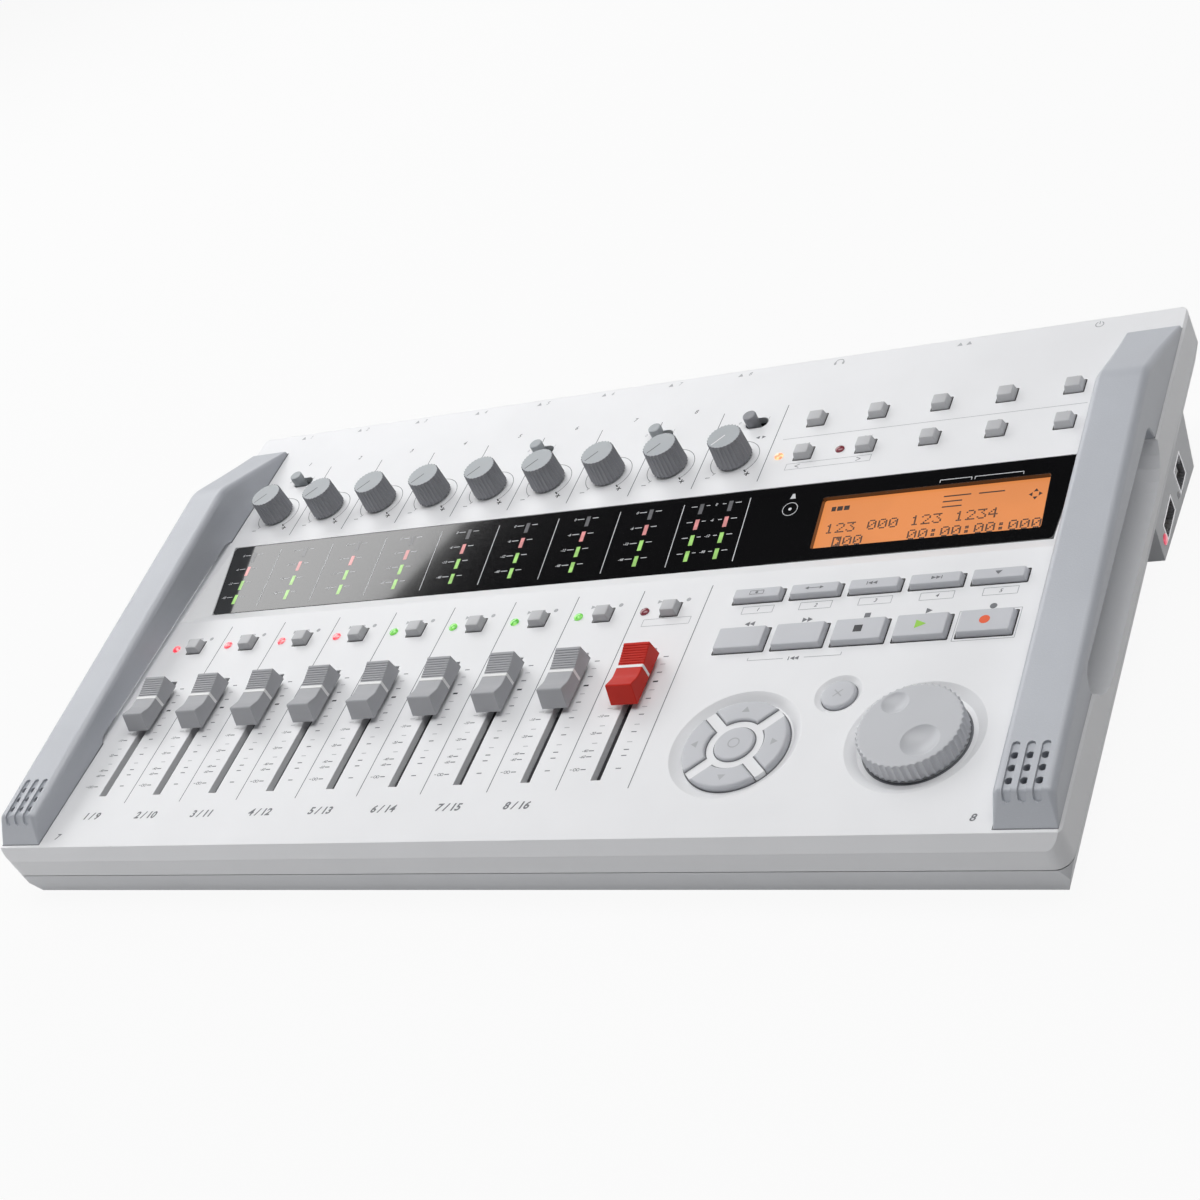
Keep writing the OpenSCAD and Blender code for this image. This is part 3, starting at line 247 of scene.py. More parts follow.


# colour, roughness, grain, bump, tone drift, edge, edge lightening (partly wear, partly painted highlight)
moulded = {
    "panelWhite": ((0.82, 0.825, 0.84), 0.42, 0.3, 0.06, 0.015, 0.35, 0.02),
    "caseGrey": ((0.66, 0.67, 0.69), 0.45, 0.4, 0.12, 0.02, 0.4, 0.05),
    "railGrey": ((0.45, 0.47, 0.51), 0.42, 0.45, 0.3, 0.03, 0.3, 0.08),
    "capGrey": ((0.385, 0.39, 0.41), 0.42, 0.25, 0.12, 0.04, 0.15, 0.25),
    "capRed": ((0.55, 0.018, 0.008), 0.42, 0.25, 0.1, 0.05, 0.15, 0.06),
    "lineWhite": ((0.80, 0.80, 0.80), 0.4, 0.3, 0.05, 0.02, 0.05, 0.0),
    "knobSide": ((0.25, 0.255, 0.275), 0.45, 0.25, 0.15, 0.05, 0.12, 0.3),
    "knobTop": ((0.37, 0.395, 0.415), 0.42, 0.25, 0.1, 0.03, 0.12, 0.2),
    "knobLine": ((0.12, 0.12, 0.13), 0.5, 0.3, 0.05, 0.03, 0.05, 0.0),
    "keyGrey": ((0.55, 0.56, 0.59), 0.4, 0.3, 0.08, 0.03, 0.12, 0.15),
    "keySmall": ((0.50, 0.505, 0.52), 0.4, 0.3, 0.08, 0.03, 0.12, 0.15),
    "dialGrey": ((0.54, 0.55, 0.575), 0.38, 0.25, 0.06, 0.02, 0.12, 0.1),
    "glossBlack": ((0.0015, 0.0015, 0.002), 0.09, 0.6, 0.004, 0.2, 0.1, 0.0),
    "slotGrey": ((0.15, 0.15, 0.16), 0.7, 0.4, 0.2, 0.1, 0.1, 0.0),
    "socketBlack": ((0.022, 0.022, 0.025), 0.4, 0.35, 0.15, 0.1, 0.2, 0.12),
    "boardGreen": ((0.02, 0.12, 0.05), 0.35, 0.8, 0.1, 0.2, 0.1, 0.1),
    "rubberGrey": ((0.07, 0.07, 0.075), 0.8, 0.5, 0.3, 0.1, 0.4, 0.1),
    "lcdInk": ((0.03, 0.012, 0.006), 0.3, 0.3, 0.02, 0.15, 0.02, 0.0)}
extras = {"railGrey": {"speckle": 0.25, "gloss": 0.9}, "capGrey": {"gloss": 0.35}, "capRed": {"gloss": 0.2},
          "glossBlack": {"coat": 1.0}, "boardGreen": {"speckle": 0.3}}
inks = {"inkGrey": ((0.16, 0.165, 0.18), 0.08), "inkPale": ((0.42, 0.43, 0.45), 0.08),
        "inkBlack": ((0.03, 0.03, 0.035), 0.1), "inkWhite": ((0.62, 0.63, 0.65), 0.08),
        "inkGreen": ((0.30, 0.62, 0.06), 0.06), "inkRed": ((0.80, 0.10, 0.02), 0.06)}
metals = {"shellMetal": ((0.66, 0.66, 0.68), 0.28, (0.05, 1, 1)), "screwMetal": ((0.16, 0.16, 0.17), 0.4),
          "goldMetal": ((0.78, 0.58, 0.28), 0.25)}
# colour, strength, size of the patches; base colour and how far or to what colour the patches darken; on the lit lamps
# the pale patches are painted highlights
glows = {
    "lcdOrange": ((0.88, 0.30, 0.085), 0.92, 30), "ledGreen": ((0.42, 0.80, 0.20), 0.95, 300),
    # the grey meter segments and the dark red lamps are unlit, yet get a faint glow: painted light
    "ledPink": ((0.86, 0.33, 0.33), 0.95, 300), "ledDim": ((0.13, 0.13, 0.14), 0.9, 300),
    "lampRed": ((1.0, 0.42, 0.44), 0.95, 900), "lampRose": ((0.90, 0.12, 0.20), 0.75, 700),
    "lampAmber": ((1.0, 0.80, 0.42), 1.1, 800), "lampGreen": ((0.40, 0.85, 0.22), 0.8, 900),
    "lampDark": ((0.16, 0.02, 0.03), 0.5, 500)}
extras.update({
    "lcdOrange": {"drop": 0.12}, "lampRed": {"base": (0.5, 0.05, 0.05), "deep": (0.72, 0.02, 0.06)},
    "lampRose": {"base": (0.35, 0.02, 0.04), "deep": (0.62, 0.02, 0.07)},
    "lampAmber": {"base": (0.5, 0.08, 0.02), "deep": (1.0, 0.22, 0.10)},
    "lampGreen": {"base": (0.08, 0.35, 0.04), "deep": (0.04, 0.30, 0.02)}, "lampDark": {"base": (0.14, 0.02, 0.03)}})
finish = {name: plastic(name, *values, **extras.get(name, {})) for name, values in moulded.items()}
for name, (colour, drift) in inks.items():
    finish[name] = plastic(name, colour, 0.5, 0.2, 0.05, drift, 0.02, 0.0)
for name, values in metals.items():
    finish[name] = metal(name, *values)
for name, values in glows.items():
    finish[name] = glowing(name, *values, **extras.get(name, {}))
print("finishes mixed:", len(finish))


# mesh tools, all in panel millimetres
def dotted(nodeName):
    return nodeName.replace("_", ".")


def setPiece(name, bm, body, mats, place):
    mesh = bpy.data.meshes.new(name)
    bm.to_mesh(mesh)
    bm.free()
    mesh.transform(place)
    for m in mats:
        mesh.materials.append(finish[m])
    obj = bpy.data.objects.new(name, mesh)
    scene.collection.objects.link(obj)
    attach(obj, body)
    return obj


def addPiece(name, bm, body, mats, swap=(), sharp=38, place=panelFrame):
    bmesh.ops.recalc_face_normals(bm, faces=bm.faces)
    obj = setPiece(name, bm, body, [mats] if isinstance(mats, str) else mats, place)
    obj.data.polygons.foreach_set("use_smooth", [True] * len(obj.data.polygons))
    obj.data.set_sharp_from_angle(angle=math.radians(sharp))
    obj.modifiers.new("flatter", "WEIGHTED_NORMAL").keep_sharp = True
    if swap:
        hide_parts(*swap)


# piece that stands in for the solid of its own body
def swapPiece(nodeName, bm, mats, sharp=38):
    addPiece(dotted(nodeName), bm, nodeName, mats, swap=(nodeName,), sharp=sharp)


def skin(bm, rings, closed=True, first=True, last=True, mat=0):
    rows = [[bm.verts.new(p) for p in ring] for ring in rings]
    count = len(rows[0])
    for a, b in zip(rows, rows[1:]):
        for i in range(count if closed else count - 1):
            j = (i + 1) % count
            bm.faces.new((a[i], a[j], b[j], b[i])).material_index = mat
    if first:
        bm.faces.new(list(reversed(rows[0]))).material_index = mat
    if last:
        bm.faces.new(rows[-1]).material_index = mat
    return rows


def bend(a, b, c, r, n):
    a, b, c = Vector(a), Vector(b), Vector(c)
    u, v = (a - b).normalized(), (c - b).normalized()
    half = u.angle(v) / 2
    turn = math.pi - 2 * half
    middle = b + (u + v).normalized() * (r / math.sin(half))
    s, e = b + u * (r / math.tan(half)) - middle, b + v * (r / math.tan(half)) - middle
    shares = [k / n for k in range(n + 1)]
    return [middle + (s * math.sin(turn * (1 - k)) + e * math.sin(turn * k)) / math.sin(turn) for k in shares]


def roundedLine(points, n=8, closed=False):
    out = []
    count = len(points)
    for i, (x, y, r) in enumerate(points):
        if r == 0 or (not closed and i in (0, count - 1)):
            out.append(Vector((x, y)))
        else:
            out += bend(points[i - 1][:2], (x, y), points[(i + 1) % count][:2], r, n)
    return out


def roundRect(w, d, r, n=5):
    r = max(0.01, min(r, w / 2 - 0.01, d / 2 - 0.01))
    a, b = w / 2 - r, d / 2 - r
    out = []
    for cx, cy, start in ((a, b, 0), (-a, b, 90), (-a, -b, 180), (a, -b, 270)):
        for k in range(n + 1):
            t = math.radians(start + 90 * k / n)
            out.append((cx + r * math.cos(t), cy + r * math.sin(t)))
    return out


def circle(r, n):
    return [(r * math.cos(2 * math.pi * k / n), r * math.sin(2 * math.pi * k / n)) for k in range(n)]


def square(r):
    return [(-r, -r), (r, -r), (r, r), (-r, r)]


def ringAt(outline, x, y, z):
    return [(x + px, y + py, z) for px, py in outline]


def spun(points, turn, x, y):
    c, s = math.cos(math.radians(turn)), math.sin(math.radians(turn))
    return [(x + px * c - py * s, y + px * s + py * c) for px, py in points]


def roundOver(edge, n=5):   # how far in and how far up, along a quarter round
    turns = [math.radians(90 * k / n) for k in range(1, n + 1)]
    return [(edge * (1 - math.cos(a)), edge * math.sin(a)) for a in turns]


# block with leaning sides, rounded top edge and a slightly crowned top
def softBlock(bm, x, y, w, d, low, high, lean, edge, corner, crown=0.0):
    levels = [(low, 0.0), (0.0, 0.0)] if low < 0 < high else [(low, 0.0)]
    levels.append((high - edge, lean))
    levels += [(high - edge + rise, lean + inset) for inset, rise in roundOver(edge)]
    outline = lambda inset: roundRect(w - 2 * inset, d - 2 * inset, corner - inset * 0.4)
    rings = [ringAt(outline(inset), x, y, z) for z, inset in levels]
    for share in (0.85, 0.6, 0.3):
        inner = [(px * share, py * share) for px, py in outline(levels[-1][1])]
        rings.append(ringAt(inner, x, y, high + crown * (1 - share * share)))
    skin(bm, rings)


def turned(bm, x, y, profile, n=64):
    skin(bm, [ringAt(circle(r, n), x, y, z) for r, z in profile])


# solid under a line drawn from front to rear, its two long edges rounded
# under gives an arch below it, and sag says how much lower that is on the left
def bandSolid(bm, line, left, right, radius, steps=6, under=(), soften=0.4, sag=0.0):
    rings = []
    count = len(line)
    for k, p in enumerate(line):
        before, after = line[max(0, k - 1)], line[min(count - 1, k + 1)]
        run = (after - before).normalized()
        inward = Vector((run.y, -run.x))
        r = radius(p) if callable(radius) else radius
        ring = []
        for side in (0, 1):
            for i in range(steps + 1):
                a = math.radians(90 * (i if side == 0 else steps - i) / steps)
                q = p + inward * (r * (1 - math.sin(a)))
                inset = r * (1 - math.cos(a))
                x = left(q.y) + inset if side == 0 else right(q.y) - inset
                ring.append((x, q.x, q.y))
        rings.append(ring)
    rows = skin(bm, rings, closed=False, first=False, last=False)
    below = []
    crest = max([v.y for v in under], default=1)
    for k, p in enumerate(under):
        run = (under[min(len(under) - 1, k + 1)] - under[max(0, k - 1)]).normalized()
        q = p + Vector((-run.y, run.x)) * soften
        down = Vector((0, sag * p.y / crest))
        pl, ql = p - down, q - down
        spots = ((left(ql.y), ql), (left(pl.y) + soften, pl), (right(p.y) - soften, p), (right(q.y), q))
        below.append([bm.verts.new((x, v.x, v.y)) for x, v in spots])
    faces = [[r[i] for r in rows] + [b[i] for b in reversed(below)] for i in (0, -1)]
    if below:
        faces += [rows[0] + list(reversed(below[0])), rows[-1] + list(reversed(below[-1]))]
        faces += [(a[i], a[i + 1], b[i + 1], b[i]) for a, b in zip(below, below[1:]) for i in range(3)]
    else:
        faces.append(rows[0] + list(reversed(rows[-1])))
    for f in faces:
        bm.faces.new(f)


def carve(bm, cutters):
    def temp(b):
        bmesh.ops.recalc_face_normals(b, faces=b.faces)
        mesh = bpy.data.meshes.new("temp")
        b.to_mesh(mesh)
        b.free()
        obj = bpy.data.objects.new("temp", mesh)
        scene.collection.objects.link(obj)
        return obj
    main = temp(bm)
    made = []
    for c in cutters:
        made.append(temp(c))
        mod = main.modifiers.new("cut", "BOOLEAN")
        mod.operation = "DIFFERENCE"
        mod.solver = "EXACT"
        mod.object = made[-1]
    bpy.context.view_layer.update()
    got = bpy.data.meshes.new_from_object(main.evaluated_get(bpy.context.evaluated_depsgraph_get()))
    result = bmesh.new()
    result.from_mesh(got)
    bpy.data.meshes.remove(got)
    for o in [main] + made:
        mesh = o.data
        bpy.data.objects.remove(o)
        bpy.data.meshes.remove(mesh)
    return result


# flat printed marks, a little above their surface
inkZ = 0.03


def inkPoly(bm, points, z=inkZ):
    bm.faces.new([bm.verts.new((p[0], p[1], z)) for p in points])


def inkRect(bm, x0, y0, x1, y1, z=inkZ):
    inkPoly(bm, [(x0, y0), (x1, y0), (x1, y1), (x0, y1)], z)


def inkBar(bm, x0, y0, x1, y1, width, z=inkZ):
    run = (Vector((x1, y1)) - Vector((x0, y0))).normalized()
    off = Vector((-run.y, run.x)) * width / 2
    inkPoly(bm, [(x0 + off.x, y0 + off.y), (x0 - off.x, y0 - off.y),
                 (x1 - off.x, y1 - off.y), (x1 + off.x, y1 + off.y)], z)


def inkAcross(bm, x0, x1, y, width, z=inkZ):
    inkBar(bm, x0, y, x1, y, width, z)


def inkAlong(bm, x, y0, y1, width, z=inkZ):
    inkBar(bm, x, y0, x, y1, width, z)


def inkArc(bm, x, y, r, width, start, stop, z=inkZ, steps=48):
    last = None
    for k in range(steps + 1):
        a = math.radians(start + (stop - start) * k / steps)
        pair = [bm.verts.new((x + q * math.cos(a), y + q * math.sin(a), z)) for q in (r - width / 2, r + width / 2)]
        if last:
            bm.faces.new((last[0], pair[0], pair[1], last[1]))
        last = pair


def inkFrame(bm, x, y, w, d, width, z=inkZ):
    for s in (-1, 1):
        inkAcross(bm, x - w / 2, x + w / 2, y + s * d / 2, width, z)
        inkAlong(bm, x + s * w / 2, y - d / 2, y + d / 2, width, z)


def inkDigits(bm, text, x, y, size, z=inkZ, align="CENTER", bold=0.012):
    curve = bpy.data.curves.new("digits", "FONT")
    curve.body = text
    curve.size = size
    curve.shear = 0.25
    curve.align_x = align
    curve.align_y = "CENTER"
    curve.resolution_u = 3
    curve.offset = bold * size
    temp = bpy.data.objects.new("digits", curve)
    scene.collection.objects.link(temp)
    bpy.context.view_layer.update()
    mesh = bpy.data.meshes.new_from_object(temp.evaluated_get(bpy.context.evaluated_depsgraph_get()))
    mesh.transform(Matrix.Translation((x, y, z)))
    bm.from_mesh(mesh)
    bpy.data.meshes.remove(mesh)
    bpy.data.objects.remove(temp)
    bpy.data.curves.remove(curve)


def inkTri(bm, x, y, w, d, way, z=inkZ):   # way 1 points right, -1 left
    inkPoly(bm, [(x - way * w / 2, y - d / 2), (x + way * w / 2, y), (x - way * w / 2, y + d / 2)], z)


def inkDot(bm, x, y, r, z=inkZ, n=20):
    inkPoly(bm, ringAt(circle(r, n), x, y, z), z)


def inkPiece(name, bm, mat, body="case", place=panelFrame):
    for f in bm.faces:
        f.normal_update()
        if f.normal.z < 0:
            f.normal_flip()
    setPiece(name, bm, body, [mat], place)


# every solid gets a finish, also those that a piece stands in for
plainFinish = {
    "panelWhite": ("top_case",), "caseGrey": ("bottom_case", "rear_panel", "battery_cover"),
    "boardGreen": ("main_board", "panel_board", "meter_board"), "shellMetal": ("data_sockets", "level_pots"),
    "socketBlack": ("input_jacks", "output_jacks", "power_inlet", "power_switch", "mic_capsules", "lcd_module"),
    "slotGrey": ("fader_units",), "rubberGrey": ("rubber_feet",), "screwMetal": ("case_screws",),
    "lampDark": ("indicator_lamps",), "glossBlack": ("display_window",), "railGrey": ("left_rail", "right_rail")}
plainFinish = {nodeName: mat for mat, group in plainFinish.items() for nodeName in group}
for nodeName, obj in nodes.items():
    want = plainFinish.get(nodeName)
    if want is None:
        movable = "knob" in nodeName or "switch" in nodeName
        want = "knobSide" if movable else "capGrey" if "fader" in nodeName else "keyGrey"
    obj.data.materials.clear()
    obj.data.materials.append(finish[want])
print("solids finished")


# side rails: a bar on two posts, rounded along its top, with the microphone grille in front
railSet = {"inner": 170.0, "outer": 187.3, "lean": 1.0, "edge": 2.3, "front": 1.3, "foot": 0.05, "nose": (7.4, 8.0),
           "bend": 2.4, "shoulder": (163.0, 16.0), "sweep": 16, "tail": (201.0, 1.5), "gap": (47.0, 149.5, 6.3),
           "archLean": 2, "archBend": 3.5, "sag": 4.8, "micX": 178.65, "micY": 14.9, "micPitch": 4.1, "micWide": 2.2,
           "micZ": (4, 30), "slotWide": 2.3, "slotDeep": 0.7, "slotFrom": 6.6, "slotTo": 25.6, "seam": 0.3,
           "seamZ": 0.04}


# cutter that follows the rail's outline from the nose up onto its top, with round ends
def micSlot(bm, line, x, stations=60):
    s = railSet
    half, first, last = s["slotWide"] / 2, s["slotFrom"], s["slotTo"]
    marks = [0.0]
    for a, b in zip(line, line[1:]):
        marks.append(marks[-1] + (b - a).length)

    def spot(d):
        k = max(i for i in range(len(marks) - 1) if marks[i] <= d and marks[i + 1] > marks[i])
        return line[k].lerp(line[k + 1], (d - marks[k]) / (marks[k + 1] - marks[k]))
    rings = []
    for i in range(stations + 1):
        d = first + (last - first) * i / stations
        run = (spot(d + 0.6) - spot(d - 0.6)).normalized()
        out = Vector((-run.y, run.x))
        reach = min(half, d - first, last - d)
        w = max(0.1, math.sqrt(half ** 2 - (half - reach) ** 2))
        low, high = spot(d) - out * s["slotDeep"], spot(d) + out * 2.0
        rings.append([(x - w, *low), (x + w, *low), (x + w, *high), (x - w, *high)])
    skin(bm, rings)


def makeRail(side):
    s = railSet
    foot, (y0, y1, h) = s["foot"], s["gap"]
    line = roundedLine([(s["front"], foot, 0), (*s["nose"], s["bend"]), (*s["shoulder"], s["sweep"]),
                        (*s["tail"], 0.8), (s["tail"][0], foot, 0)], n=14)
    dense = []
    for a, b in zip(line, line[1:]):   # long stretches get more stations
        cuts = max(1, int((b - a).length / 12))
        dense += [a + (b - a) * (k / cuts) for k in range(cuts)]
    dense.append(line[-1])
    bm = bmesh.new()
    inner = lambda z: s["inner"] + s["lean"] * z / 16
    outer = lambda z: s["outer"]
    ease = lambda p: min(s["edge"], 0.25 * p.y + 0.3)
    arch = roundedLine([(y0, foot, 0), (y0 + s["archLean"], h, s["archBend"]),
                        (y1 - s["archLean"], h, s["archBend"]), (y1, foot, 0)], n=10)
    bandSolid(bm, dense, inner, outer, ease, steps=7, under=arch, sag=s["sag"])
    slots, holes = bmesh.new(), bmesh.new()
    for i in (-1, 0, 1):
        x = s["micX"] + i * s["micPitch"]
        micSlot(slots, dense, x)
        for j in (-1, 0, 1):
            y = s["micY"] + j * s["micPitch"]
            skin(holes, [ringAt(circle(s["micWide"] / 2, 20), x, y, z) for z in s["micZ"]])
    bm = carve(bm, [slots, holes])
    if side < 0:
        bmesh.ops.scale(bm, vec=(-1, 1, 1), verts=bm.verts)
    hand = "left" if side < 0 else "right"
    addPiece("rail." + hand, bm, "case", "railGrey", swap=(hand + "_rail",), sharp=32)


makeRail(-1)
makeRail(1)
feet = bmesh.new()
for side in (-1, 1):   # thin dark gap where each post stands on the panel
    s = railSet
    x0, x1 = side * (s["inner"] - s["seam"]), side * s["outer"]
    for y0, y1 in ((s["front"] - s["seam"], s["gap"][0]), (s["gap"][1], s["tail"][0] + s["seam"])):
        inkRect(feet, x0, y0, x1, y1, s["seamZ"])
inkPiece("rail.gaps", feet, "inkGrey")
print("rails made")


# fader caps: hollow front half, ribbed rear half, a light line across the middle and down both sides
capSet = {"y": 61.9, "low": 1.8, "lip": (-9.3, 8.3), "heel": (9.8, 1.8), "toe": (-11.4, 1.8), "rearTop": (8.6, 8.2),
          "dip": 6.55, "hollow": (-4.6, 7.0), "flat": 0.9, "ribs": 8, "ribDeep": 0.2, "ribFrom": 1.0, "ribRest": 1.4,
          "ribShape": ((0.08, 0, 1), (0.26, 0, 1), (0.34, 0.34, 0), (0.98, 1, 0)), "climb": 1.35, "wide": 9.1,
          "taper": -0.15, "edge": 0.3, "line": 0.55, "proud": 0.035, "lever": (2.1, 3.9), "leverZ": (-6.9, 2.4)}


def capLine():
    s = capSet
    dip, (topY, topZ) = s["dip"], s["rearTop"]
    pts = roundedLine([(*s["toe"], 0), (*s["lip"], 0.55), (s["hollow"][0], dip + 0.05, s["hollow"][1]),
                       (-s["flat"], dip, 0)], n=9)
    pts.append(Vector((s["flat"], dip + 0.05)))
    run = (topY - s["ribRest"]) / s["ribs"]
    climb = lambda v: dip + (topZ - dip) * (v / topY) ** s["climb"]
    for k in range(s["ribs"]):
        a = s["ribFrom"] + run * k
        pts += [Vector((a + run * at, climb(a + run * up) - down * s["ribDeep"])) for at, up, down in s["ribShape"]]
    pts += roundedLine([(pts[-1].x, pts[-1].y, 0), (topY, topZ, 0.35), (*s["heel"], 0)], n=5)[1:]
    return pts


def makeCap(nodeName, x, mat):
    s = capSet
    bm = bmesh.new()
    line = [Vector((p.x + s["y"], p.y)) for p in capLine()]
    wide = lambda z: s["wide"] / 2 - s["taper"] * max(0, 1 - (z - s["low"]) / 6.5)
    bandSolid(bm, line, lambda z: x - wide(z), lambda z: x + wide(z), s["edge"], steps=4)
    skin(bm, [ringAt(roundRect(*s["lever"], 0.4, 3), x, s["y"], z) for z in s["leverZ"]])   # goes down into the slot
    swapPiece(nodeName, bm, mat, sharp=26)
    stripe = bmesh.new()
    top, edge, proud, h = s["dip"] + 0.06, s["edge"], s["proud"], s["line"]
    ring = [(-wide(z) - proud, z) for z in (s["low"] + 0.3, top - edge)]
    for k in range(5):
        a = math.radians(90 * k / 4)
        ring.append((-wide(top) + edge * (1 - math.cos(a)) - proud * math.cos(a),
                     top - edge * (1 - math.sin(a)) + 0.02))
    ring += [(-px, pz) for px, pz in reversed(ring)]
    skin(stripe, [[(x + px, s["y"] + y, pz) for px, pz in ring] for y in (-h, h)])
    addPiece("line." + dotted(nodeName), stripe, nodeName, "lineWhite", sharp=50)


for i in range(8):
    makeCap("fader_cap_%d" % (i + 1), columns[i], "capGrey")
makeCap("master_fader_cap", masterX, "capRed")
print("fader caps made")


# gain knobs: fluted skirt, pale flat top with a line that points to the low end
knobSet = {"y": 163.5, "base": 6.55, "top": 6.0, "low": 0.6, "high": 10.15, "flutes": 28, "deep": 0.36, "turn": 140,
           "lineLong": 5.2, "lineWide": 0.42, "stem": (1.9, -10.2)}


def flutedRing(x, y, r, z, n, deep, per=8):
    ring = []
    for k in range(n * per):
        a = 2 * math.pi * k / (n * per)
        q = r - deep * math.sin(math.pi * (k % per) / per)
        ring.append((x + q * math.cos(a), y + q * math.sin(a), z))
    return ring


def makeKnob(nodeName, x, lineMat):
    s = knobSet
    y, base, top, low, high, deep = s["y"], s["base"], s["top"], s["low"], s["high"], s["deep"]
    fluted = lambda steps: [flutedRing(x, y, r, z, s["flutes"], d) for r, z, d in steps]
    bm = bmesh.new()
    skin(bm, fluted([(base - 0.12, low, deep), (base, low + 0.15, deep), (top + 0.1, high - 0.14, deep),
                     (top, high - 0.05, deep)]), last=False)
    skin(bm, fluted([(top, high - 0.05, deep), (top - 0.08, high, deep), (top - 0.6, high, 0),
                     (1.0, high - 0.02, 0)]), first=False, mat=1)
    turned(bm, x, y, [s["stem"], (s["stem"][0], low + 1)], n=24)
    swapPiece(nodeName, bm, ["knobSide", "knobTop"], sharp=35)
    mark = bmesh.new()
    a = math.radians(90 + s["turn"])
    run = Vector((math.cos(a), math.sin(a)))
    start, stop = run * -0.6, run * s["lineLong"]
    inkBar(mark, x + start.x, y + start.y, x + stop.x, y + stop.y, s["lineWide"], high + 0.02)
    inkPiece("line." + dotted(nodeName), mark, lineMat, body=nodeName)


for i in range(8):
    makeKnob("gain_knob_%d" % (i + 1), columns[i], "knobLine")
makeKnob("balance_knob", masterX, "lineWhite")
print("knobs made")


# rows of keys
keySet = {"first": 74.0, "pitch": 19.4, "wide": 16.6, "deep": 9.5, "line": 76.0, "low": -2.4, "high": 2.0, "lean": 0.42,
          "edge": 0.38, "corner": 0.7}
functionSet = dict(keySet, deep=5.0, line=94.9)
smallSet = {"wide": 6.0, "deep": 5.6, "low": -2.4, "high": 2.6, "lean": 0.5, "edge": 0.35, "corner": 0.6}
statusSet = {"shift": 0.6, "line": 92.3}
menuSet = {"first": 69.2, "pitch": 22.06, "rows": (161.9, 178.7)}
keyX = [keySet["first"] + keySet["pitch"] * i for i in range(5)]
menuX = [menuSet["first"] + menuSet["pitch"] * i for i in range(5)]
statusSpots = [(x + statusSet["shift"], statusSet["line"]) for x in columns]
menuSpots = [(x, y) for x in menuX for y in menuSet["rows"]]
functionSpots = [(x, functionSet["line"]) for x in keyX]
transport = ("rewind_key", "forward_key", "stop_key", "play_key", "record_key")


def makeKeys(nodeName, s, spots, mat, crown):
    bm = bmesh.new()
    for x, y in spots:
        softBlock(bm, x, y, s["wide"], s["deep"], s["low"], s["high"], s["lean"], s["edge"], s["corner"], crown=crown)
    swapPiece(nodeName, bm, mat)


for x, nodeName in zip(keyX, transport):
    makeKeys(nodeName, keySet, [(x, keySet["line"])], "keyGrey", 0.06)
makeKeys("function_keys", functionSet, functionSpots, "keyGrey", 0.05)
makeKeys("status_keys", smallSet, statusSpots, "keySmall", 0.08)
makeKeys("menu_keys", smallSet, menuSpots, "keySmall", 0.08)
markZ = keySet["high"] + 0.09
keySigns = {"stop_key": ("inkBlack", square(1.35)), "play_key": ("inkGreen", [(-1.5, -1.7), (1.9, 0), (-1.5, 1.7)]),
            "record_key": ("inkRed", circle(1.6, 28))}
for nodeName, (mat, points) in keySigns.items():
    bm = bmesh.new()
    inkPoly(bm, ringAt(points, keyX[transport.index(nodeName)], keySet["line"], markZ), markZ)
    inkPiece("mark." + dotted(nodeName), bm, mat, body=nodeName)
signs = bmesh.new()   # plain signs on the function keys
fy = functionSet["line"]
inkFrame(signs, keyX[0], fy, 4.6, 1.5, 0.2, markZ)
inkDot(signs, keyX[0], fy, 0.5, markZ)
inkAcross(signs, keyX[1] - 2, keyX[1] + 2, fy, 0.25, markZ)
for way, x in ((-1, keyX[2]), (1, keyX[3])):
    inkTri(signs, keyX[1] + way * 2.5, fy, 1.3, 1.3, way, markZ)
    for k in (0, 1):
        inkTri(signs, x + way * (k * 1.5 - 0.4), fy, 1.5, 1.4, way, markZ)
    inkAlong(signs, x + way * 2.1, fy - 0.7, fy + 0.7, 0.28, markZ)
inkPoly(signs, [(keyX[4] - 1.1, fy + 0.7), (keyX[4] + 1.1, fy + 0.7), (keyX[4], fy - 0.8)], markZ)
inkPiece("mark.function.keys", signs, "inkGrey", body="function_keys")
gaps = bmesh.new()   # painted shadow: a dark frame in the gap round each key, where shade falls
gapZ = 0.015
for x in keyX:
    for s in (keySet, functionSet):
        inkFrame(gaps, x, s["line"], s["wide"] + 0.5, s["deep"] + 0.5, 0.42, gapZ)
for x, y in statusSpots + menuSpots:
    inkFrame(gaps, x, y, smallSet["wide"] + 0.4, smallSet["deep"] + 0.4, 0.36, gapZ)
inkPiece("key.gap.shadows", gaps, "socketBlack")
print("keys made")


# cursor pad, enter and exit keys
padSet = {"x": 85.0, "y": 34.5, "outer": 16.4, "inner": 9.2, "rib": 4.0, "enter": 6.3, "low": -4.4, "high": 0.3,
          "edge": 0.7, "base": -0.47, "dish": -1.97}
exitSet = {"x": 112.65, "y": 52.0, "r": 5.3, "low": -3.8, "dish": -1.37}
roundSet = {"high": 0.35, "edge": 0.75, "signZ": 0.44, "gap": 0.36}
quarters = (0, 90, 180, 270)


def sectorRing(turn, inset, z, n=18):
    s = padSet
    ro, ri, d = s["outer"] - max(0.02, inset), s["inner"] + inset, s["rib"] / 2 + inset
    out = []
    for r, way in ((ro, 1), (ri, -1)):
        off = math.asin(d / r)
        ends = (math.radians(45) + off, math.radians(135) - off)[::way]
        for k in range(n + 1):
            a = ends[0] + (ends[1] - ends[0]) * k / n
            out.append((r * math.cos(a), r * math.sin(a)))
    return [(px, py, z) for px, py in spun(out, turn, s["x"], s["y"])]


